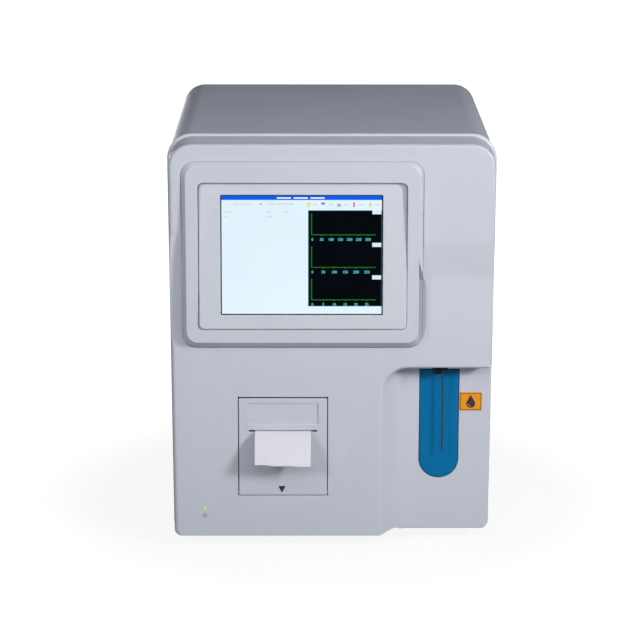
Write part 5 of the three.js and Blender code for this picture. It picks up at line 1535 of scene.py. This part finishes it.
def needle():
    """The needle with its blunt tip and, above, a ribbed collar."""
    low, high = millimetres("sample_needle")
    foot, head, collar, ribs, pitch = low[2], high[2], 4.0, 4, 0.9
    radius, collar_radius, rib_radius, waist_radius = 0.75, 2.6, 3.0, 2.75
    profile = [(0.4, foot), (0.65, foot + 0.4), (radius, foot + 1.4), (radius, head - collar),
               (collar_radius, head - collar)]
    for i in range(ribs):
        z = head - collar + 0.3 + i * pitch
        profile += [(rib_radius, z), (rib_radius, z + 0.5), (waist_radius, z + 0.6), (waist_radius, z + 0.8)]
    profile = profile[:-2] + [(collar_radius, head)]
    return soften(turned("sample_probe", profile, "z", middle_of(low, high, 0, 1), 24), sharp=32)


def film_label():
    """The label's film, with its corners cut round."""
    (x0, y0, z0), (x1, y1, z1) = millimetres("recess_label")
    proud, corner = 0.1, 1.4

    def outline(inset):
        return rounded_box(x0 + inset, x1 - inset, z0 + inset, z1 - inset, corner, 6)

    return soften(plate("recess_film", outline, y0 + proud, y1, front=proud))


def label_drawing():
    """A plain drop in a thin frame."""
    (x0, y0, z0), (x1, _, z1) = millimetres("recess_label")
    front, ink = y0 + 0.1, 0.05

    def printed(name, outline, deep):
        return stack(name, [at_depth(outline, front - deep), at_depth(outline, front + deep)])

    def frame_ring(inset):
        return rounded_box(x0 + inset, x1 - inset, z0 + inset, z1 - inset, 1.2, 6)

    border = cut(printed("border", frame_ring(0.7), ink), printed("inner", frame_ring(1.3), 1))
    radius, glint_inner, glint_outer = 4.6, 2.4, 3.1
    centre = ((x0 + x1) / 2, z0 + 7.4)
    drop = []
    for i in range(25):
        t = math.radians(-205 + 230 * i / 24)
        drop.append((centre[0] + radius * math.cos(t), centre[1] + radius * math.sin(t)))
    drop.append((centre[0], centre[1] + radius * 2.05))
    glint = arc(centre, glint_inner, 180, 271, 15) + arc(centre, glint_outer, 270, 179, -15)
    shape = cut(printed("drop", drop, ink), printed("glint", glint, 1))
    return gather("label_drawing", [border, shape])


# Small fittings

def led_lens():
    """The lamp's lens: a domed front, and a wider foot behind the face."""
    low, high = millimetres("power_led")
    radius, foot_radius, foot_front, domed = 1.65, 1.9, 6, 1.1
    profile = dome(radius, domed) + [(radius, foot_front), (foot_radius, foot_front), (foot_radius, high[1])]
    return soften(turned("power_lens", profile, "y", middle_of(low, high, 0, 2), 32), sharp=40)


def power_symbol():
    """The usual sign for power, a broken ring and a bar, under the lamp."""
    middle = middle_of(*millimetres("power_led"), 0)[0]
    centre, radius, wide = (middle, BASE_Z + 22.6), 2.1, 0.55
    ink = (-0.03, 0.05)
    ring = arc(centre, radius, -235, 56, 10) + arc(centre, radius - wide, 55, -236, -10)
    broken_ring = stack("arc", [at_depth(ring, y) for y in ink])
    bar = box("bar", (middle - wide / 2, middle + wide / 2), ink, (centre[1] + 0.4, centre[1] + radius + 0.7))
    return gather("power_sign", [broken_ring, bar])


def rubber_feet():
    """Four turned feet with grooves round them, set down on their places by a tree."""
    names = ["foot_front_left", "foot_front_right", "foot_rear_left", "foot_rear_right"]
    corners = [millimetres(name) for name in names]
    points = [(*middle_of(low, high, 0, 1), 0) for low, high in corners]
    low, high = corners[0]
    top, radius = high[2], (high[0] - low[0]) / 2
    # Pairs of (in from the side, up from the table) round the foot's lower edge
    tread = [(6.5, 0.0), (6, 0.0), (2.6, 0.0), (1.4, 0.4), (0.6, 1.4)]
    profile = [(radius - inset, z) for inset, z in tread]
    for z in (4, 7, 10):
        groove = radius - 0.8
        profile += [(radius - 0.2, z - 0.8), (groove, z - 0.3), (groove, z + 0.3), (radius, z + 0.8)]
    profile += [(radius, top - 0.6), (radius - 0.6, top)]
    shape = soften(turned("foot", profile, "z", (0, 0), 48), sharp=50)
    feet = set_down("rubber_feet", shape, points, finish("rubber"))
    return finished(feet, None, nodes=names)


def screw_shape(radius, height, shank, deep):
    """A pan head with a cross recess, along -Y."""
    head = [(across, down - height) for across, down in dome(radius, height * 0.7)]
    body = turned("screw", head + [(radius, 0), (shank, 0), (shank, deep)], "y", (0, 0), 28)
    reach, half, depth = radius * 0.55, 0.38, (-height - 1, -height * 0.35)
    slots = [box("slot", (-reach, reach), depth, (-half, half)),
             box("slot", (-half, half), depth, (-reach, reach))]
    return soften(cut(body, *slots), sharp=35)


def side_screws():
    """The cover's four screws, two to a side, set down by a tree."""
    radius, height, shank, deep = 3.2, 1.2, 1.5, 5
    made_screws = []
    for side, turn in (("left", -math.pi / 2), ("right", math.pi / 2)):
        names = [f"side_screw_{side}_{i}" for i in (1, 2)]
        points = []
        for low, high in (millimetres(name) for name in names):
            seat = high[0] - height if side == "right" else low[0] + height
            points.append((seat, *middle_of(low, high, 1, 2)))
        screws = set_down(f"cover_screws_{side}", screw_shape(radius, height, shank, deep), points,
                          finish("steel"), (0, 0, turn))
        made_screws.append(finished(screws, None, nodes=names))
    return made_screws


# Rear

def rear_screws(skin, fan):
    """The rear panel's screws and the four that hold the fan and its guard."""
    side, heights, fan_pitch = 150, (BASE_Z + 14, BASE_Z + 205, BASE_Z + 396), 35.7
    places = [(x, skin, z) for x in (-side, side) for z in heights]
    corners = (-fan_pitch, fan_pitch)
    places += [(fan[0] + dx, skin, fan[1] + dz) for dx in corners for dz in corners]
    shape = screw_shape(2.9, 1.6, 1.2, 1.8)
    heads = set_down("rear_screws", shape, places, finish("steel"), (0, 0, math.pi))
    return finished(heads, None)


def fan_guard(settings, skin, fan):
    """Rings of wire over the fan, on two spokes that cross behind them."""
    wire = settings.guard_wire / MM
    inner, outer, reach = 8, 37.5, 44
    rings = grown("guard_rings", [(fan[0], skin + 0.4 + wire, fan[1])], guard_tree(), {
        "Rings": settings.guard_rings, "Inner": inner * MM, "Outer": outer * MM, "Wire": wire * MM,
        "Material": finish("zinc")})
    spokes = []
    seat = Matrix.Translation((fan[0], skin + 0.2 + wire / 2, fan[1]))
    for degrees in (45, 135):
        turn = seat @ Matrix.Rotation(math.radians(degrees), 4, "Y")
        bar = rod("spoke", "x", wire / 2, (-reach, reach), (0, 0), 12, edge=0.4, turn=turn)
        bar.data.materials.append(finish("zinc"))
        spokes.append(bar)
    guard = gather("fan_guard", [rings, *spokes])
    for face in guard.data.polygons:
        face.use_smooth = True
    return finished(guard, None)


def rear_details(settings):
    """What the rear panel carries outside."""
    skin = millimetres("rear_panel")[1][1]
    fan = middle_of(*millimetres("fan_frame"), 0, 2)
    rear_screws(skin, fan)
    return fan_guard(settings, skin, fan)


# Stage

def aim(obj, target):
    """Turns an object so that it points at a place."""
    obj.rotation_euler = (Vector(target) - obj.location).to_track_quat("-Z", "Y").to_euler()


# Lights: name, place, what it points at, its width and height, the setting with its power, and its tint
LIGHTS = [
    ("key", (1.15, -1.2, 0.86), (0, -0.1, 0.3), (0.32, 0.32), "key_power", (1, 0.995, 0.985)),
    ("fill", (-0.84, -1.16, 0.72), (0, -0.1, 0.3), (0.28, 0.28), "fill_power", (0.97, 0.985, 1)),
    ("front", (0.1, -1.15, 1.05), (0, -0.1, 0.25), (1.0, 0.7), "front_power", (1, 1, 1)),
    ("top", (0, 0.15, 1.5), (0, 0.1, 0.4), (1.0, 0.9), "top_power", (0.98, 0.99, 1)),
    ("rear", (-0.35, 1.9, 0.24), (0, 0, 0.22), (1.4, 0.3), "rear_power", (1, 1, 1)),
]
CAMERA_PLACE = (-0.022, FACE_Y - 2.319, 0.839 + BASE_Z * MM)
# How far the camera looks down, how far it turns to the right and how far it leans, in degrees
CAMERA_DOWN, CAMERA_RIGHT, CAMERA_LEAN = 14.72, 0.25, 0.07
SENSOR_WIDTH = 36


def area_light(name, place, target, size, watts, tint):
    """A rectangular light that the camera does not see."""
    data = bpy.data.lights.new(name, "AREA")
    data.shape = "RECTANGLE"
    data.size, data.size_y = size
    data.energy = watts
    data.color = tint
    lamp = bpy.data.objects.new(name, data)
    bpy.context.scene.collection.objects.link(lamp)
    lamp.location = place
    lamp.visible_camera = False
    aim(lamp, target)
    return lamp


def seen_through(tree):
    """1 for the camera, directly and through glass, and 0 for everything else."""
    path = node(tree, "ShaderNodeLightPath").outputs
    return maths(tree, "ADD", path["Is Camera Ray"], path["Is Transmission Ray"], clamp=True)


def even_world(strength):
    """White to the camera, and a plain dim light, brighter from below, to everything else."""
    world = bpy.data.worlds.new("studio")
    world.use_nodes = True
    tree = world.node_tree
    tree.nodes.clear()
    low_tone, high_tone = (0.96, 0.98, 1, 1), (0.3, 0.31, 0.34, 1)
    place = node(tree, "ShaderNodeTexCoord").outputs["Generated"]
    height = node(tree, "ShaderNodeSeparateXYZ", {0: place}).outputs["Z"]
    tone = mixed(tree, ranged(tree, height, 0, 0.8, 0, 1), low_tone, high_tone)
    dim = node(tree, "ShaderNodeBackground", {"Color": tone, "Strength": strength})
    white = node(tree, "ShaderNodeBackground", {"Color": (1, 1, 1, 1), "Strength": 1.0})
    mix = node(tree, "ShaderNodeMixShader", {0: seen_through(tree), 1: dim.outputs[0], 2: white.outputs[0]})
    tree.links.new(mix.outputs[0], node(tree, "ShaderNodeOutputWorld").inputs["Surface"])
    return world


def white_floor():
    """A floor that goes over into the white ground away from the object and keeps its shadow near it."""
    far, sunk = 6.0, 0.0002
    shadow_end, white_from, near_share = 0.25, 0.6, 0.72
    mesh = bpy.data.meshes.new("floor")
    mesh.from_pydata([(-far, -far, 0), (far, -far, 0), (far, far, 0), (-far, far, 0)], [], [(0, 1, 2, 3)])
    floor = bpy.data.objects.new("floor", mesh)
    bpy.context.scene.collection.objects.link(floor)
    floor.location = (0, 0, -sunk)
    material, tree, surface = new_material("studio_floor")
    surface.inputs["Base Color"].default_value = (0.4, 0.4, 0.4, 1)
    surface.inputs["Roughness"].default_value = 0.9
    surface.inputs["Specular IOR Level"].default_value = 0.0
    place = node(tree, "ShaderNodeTexCoord").outputs["Object"]
    away = node(tree, "ShaderNodeVectorMath", {0: place}, operation="LENGTH").outputs["Value"]
    whiter = ranged(tree, away, shadow_end, white_from, near_share, 1)
    share = maths(tree, "MULTIPLY", seen_through(tree), whiter)
    white = node(tree, "ShaderNodeEmission", {"Color": (1, 1, 1, 1), "Strength": 1.25})
    mix = node(tree, "ShaderNodeMixShader", {0: share, 1: surface.outputs[0], 2: white.outputs[0]})
    tree.links.new(mix.outputs[0], tree.nodes["Material Output"].inputs["Surface"])
    mesh.materials.append(material)
    return floor


def studio_camera(lens):
    """The camera, in front of the face and a little above it."""
    data = bpy.data.cameras.new("camera")
    data.lens = lens
    data.sensor_width = SENSOR_WIDTH
    camera = bpy.data.objects.new("camera", data)
    bpy.context.scene.collection.objects.link(camera)
    camera.location = CAMERA_PLACE
    steps = [(-CAMERA_RIGHT, "Z"), (90 - CAMERA_DOWN, "X"), (CAMERA_LEAN, "Z")]
    yaw, pitch, lean = [Matrix.Rotation(math.radians(degrees), 3, axis) for degrees, axis in steps]
    camera.rotation_euler = (yaw @ pitch @ lean).to_euler()
    return camera


def studio(settings):
    """The world, floor, lights and camera."""
    scene = bpy.context.scene
    scene.view_settings.view_transform = "Standard"
    scene.world = even_world(settings.surround)
    white_floor()
    for name, place, target, size, setting, tint in LIGHTS:
        area_light(name, place, target, size, getattr(settings, setting), tint)
    scene.camera = studio_camera(settings.lens)


# Finishes of the CAD nodes that show as they are

NODE_FINISHES = {
    "zinc": ["lcd_module", "base_plate", "print_motor", "print_mechanism", "probe_lift_frame", "drive_pulley",
             "idler_pulley", "lift_motor", "bath_bench", "syringe_stand", "power_supply"],
    "cover": ["rear_panel"],
    "steel": ["printer_hinge_pin", "guide_rod_left", "guide_rod_right", "syringe_plunger"],
    "dark": ["printer_tray", "platen_roller", "fan_frame", "fan_rotor", "power_entry", "power_rocker",
             "data_ports", "lift_belt", "aspirate_switch", "key_bracket"],
    "grey": ["roll_spindle", "platen_gear", "motor_pinion", "probe_carriage", "pump_body", "pump_rotor",
             "valve_bank", "fluid_ports"],
    "clear": ["white_cell_bath", "red_cell_bath", "syringe_barrel"],
    "board": ["main_board"],
    "paper": ["paper_web"],
    "roll": ["paper_roll"],
}


def dress_nodes():
    """Gives each of these nodes its finish."""
    for name, nodes in NODE_FINISHES.items():
        for label in nodes:
            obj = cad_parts[label]
            obj.data.materials.clear()
            obj.data.materials.append(finish(name))


# Operators

class AnalyzerMaker:
    """What every operator here shares."""
    bl_options = {"REGISTER", "UNDO"}


class ANALYZER_OT_moulding(AnalyzerMaker, bpy.types.Operator):
    """Make the front moulding with its recess and fold"""
    bl_idname = "analyzer.moulding"
    bl_label = "Front moulding"

    def execute(self, context):
        finished(front_moulding(context.scene.analyzer_casing), finish("face"), nodes=["front_shell"])
        # The black strip behind the door's gap is painted shade.
        finished(door_seal(), finish("rubber"))
        return {"FINISHED"}


class ANALYZER_OT_cover(AnalyzerMaker, bpy.types.Operator):
    """Make the folded cover with its screws, and the feet"""
    bl_idname = "analyzer.cover"
    bl_label = "Cover and feet"

    def execute(self, context):
        finished(steel_cover(), finish("cover"), nodes=["top_cover"])
        side_screws()
        rubber_feet()
        return {"FINISHED"}


class ANALYZER_OT_screen(AnalyzerMaker, bpy.types.Operator):
    """Make the screen's pod, bezel, glass and picture"""
    bl_idname = "analyzer.screen"
    bl_label = "Screen"

    def execute(self, context):
        settings = context.scene.analyzer_screen
        finished(screen_pod(), finish("face"), nodes=["screen_surround"])
        finished(screen_bezel(settings), finish("bezel"), nodes=["screen_bezel"])
        finished(touch_panel(), finish("glass"), nodes=["touch_panel"])
        finished(screen_picture(), None)
        return {"FINISHED"}


class ANALYZER_OT_printer(AnalyzerMaker, bpy.types.Operator):
    """Make the printer's door, its mark and the paper"""
    bl_idname = "analyzer.printer"
    bl_label = "Printer"

    def execute(self, context):
        settings = context.scene.analyzer_printer
        finished(printer_door(settings), finish("flap"), "printer_door", ["printer_door"])
        finished(door_mark(), finish("mark"), "printer_door")
        finished(paper_strip(settings), finish("paper"), "printer_door", ["paper_tongue"])
        return {"FINISHED"}


class ANALYZER_OT_recess(AnalyzerMaker, bpy.types.Operator):
    """Make the aspirate key, wash block, needle and label"""
    bl_idname = "analyzer.recess"
    bl_label = "Sample recess"

    def execute(self, context):
        settings = context.scene.analyzer_recess
        finished(aspirate_key(settings), finish("key"), "aspirate_key", ["aspirate_key"])
        finished(wash_station(), finish("black"), nodes=["wash_block"])
        finished(needle(), finish("needle"), "probe_carriage", ["sample_needle"])
        finished(film_label(), finish("label"), nodes=["recess_label"])
        finished(label_drawing(), finish("mark"))
        finished(led_lens(), finish("lens"), nodes=["power_led"])
        finished(power_symbol(), finish("mark"))
        return {"FINISHED"}


class ANALYZER_OT_rear(AnalyzerMaker, bpy.types.Operator):
    """Make the rear's screws and fan guard, and finish the pieces that show as they are"""
    bl_idname = "analyzer.rear"
    bl_label = "Rear and inside"

    def execute(self, context):
        rear_details(context.scene.analyzer_rear)
        dress_nodes()
        return {"FINISHED"}


class ANALYZER_OT_stage(AnalyzerMaker, bpy.types.Operator):
    """Make the floor, lights and camera"""
    bl_idname = "analyzer.stage"
    bl_label = "Studio"

    def execute(self, context):
        studio(context.scene.analyzer_stage)
        return {"FINISHED"}


class ANALYZER_PT_panel(bpy.types.Panel):
    bl_idname = "ANALYZER_PT_panel"
    bl_label = "Hematology analyzer"
    bl_space_type = "VIEW_3D"
    bl_region_type = "UI"
    bl_category = "Analyzer"

    def draw(self, context):
        for operator, settings in STEPS:
            box_layout = self.layout.box()
            box_layout.operator(operator.bl_idname)
            group = getattr(context.scene, settings, None)
            if group:
                for label in group.bl_rna.properties.keys():
                    if label not in {"rna_type", "name"}:
                        box_layout.prop(group, label)


STEPS = [
    (ANALYZER_OT_stage, "analyzer_stage"),
    (ANALYZER_OT_moulding, "analyzer_casing"),
    (ANALYZER_OT_cover, ""),
    (ANALYZER_OT_screen, "analyzer_screen"),
    (ANALYZER_OT_printer, "analyzer_printer"),
    (ANALYZER_OT_recess, "analyzer_recess"),
    (ANALYZER_OT_rear, "analyzer_rear"),
]
SETTINGS = {
    "analyzer_casing": AnalyzerCasing,
    "analyzer_screen": AnalyzerScreen,
    "analyzer_printer": AnalyzerPrinter,
    "analyzer_recess": AnalyzerRecess,
    "analyzer_rear": AnalyzerRear,
    "analyzer_stage": AnalyzerStage,
}


def register():
    for name, group in SETTINGS.items():
        bpy.utils.register_class(group)
        setattr(bpy.types.Scene, name, bpy.props.PointerProperty(type=group))
    for operator, _ in STEPS:
        bpy.utils.register_class(operator)
    bpy.utils.register_class(ANALYZER_PT_panel)


def unregister():
    bpy.utils.unregister_class(ANALYZER_PT_panel)
    for operator, _ in reversed(STEPS):
        bpy.utils.unregister_class(operator)
    for name, group in reversed(SETTINGS.items()):
        delattr(bpy.types.Scene, name)
        bpy.utils.unregister_class(group)


def main():
    register()
    for operator, _ in STEPS:
        module, name = operator.bl_idname.split(".")
        getattr(getattr(bpy.ops, module), name)()


if __name__ == "__main__":
    main()
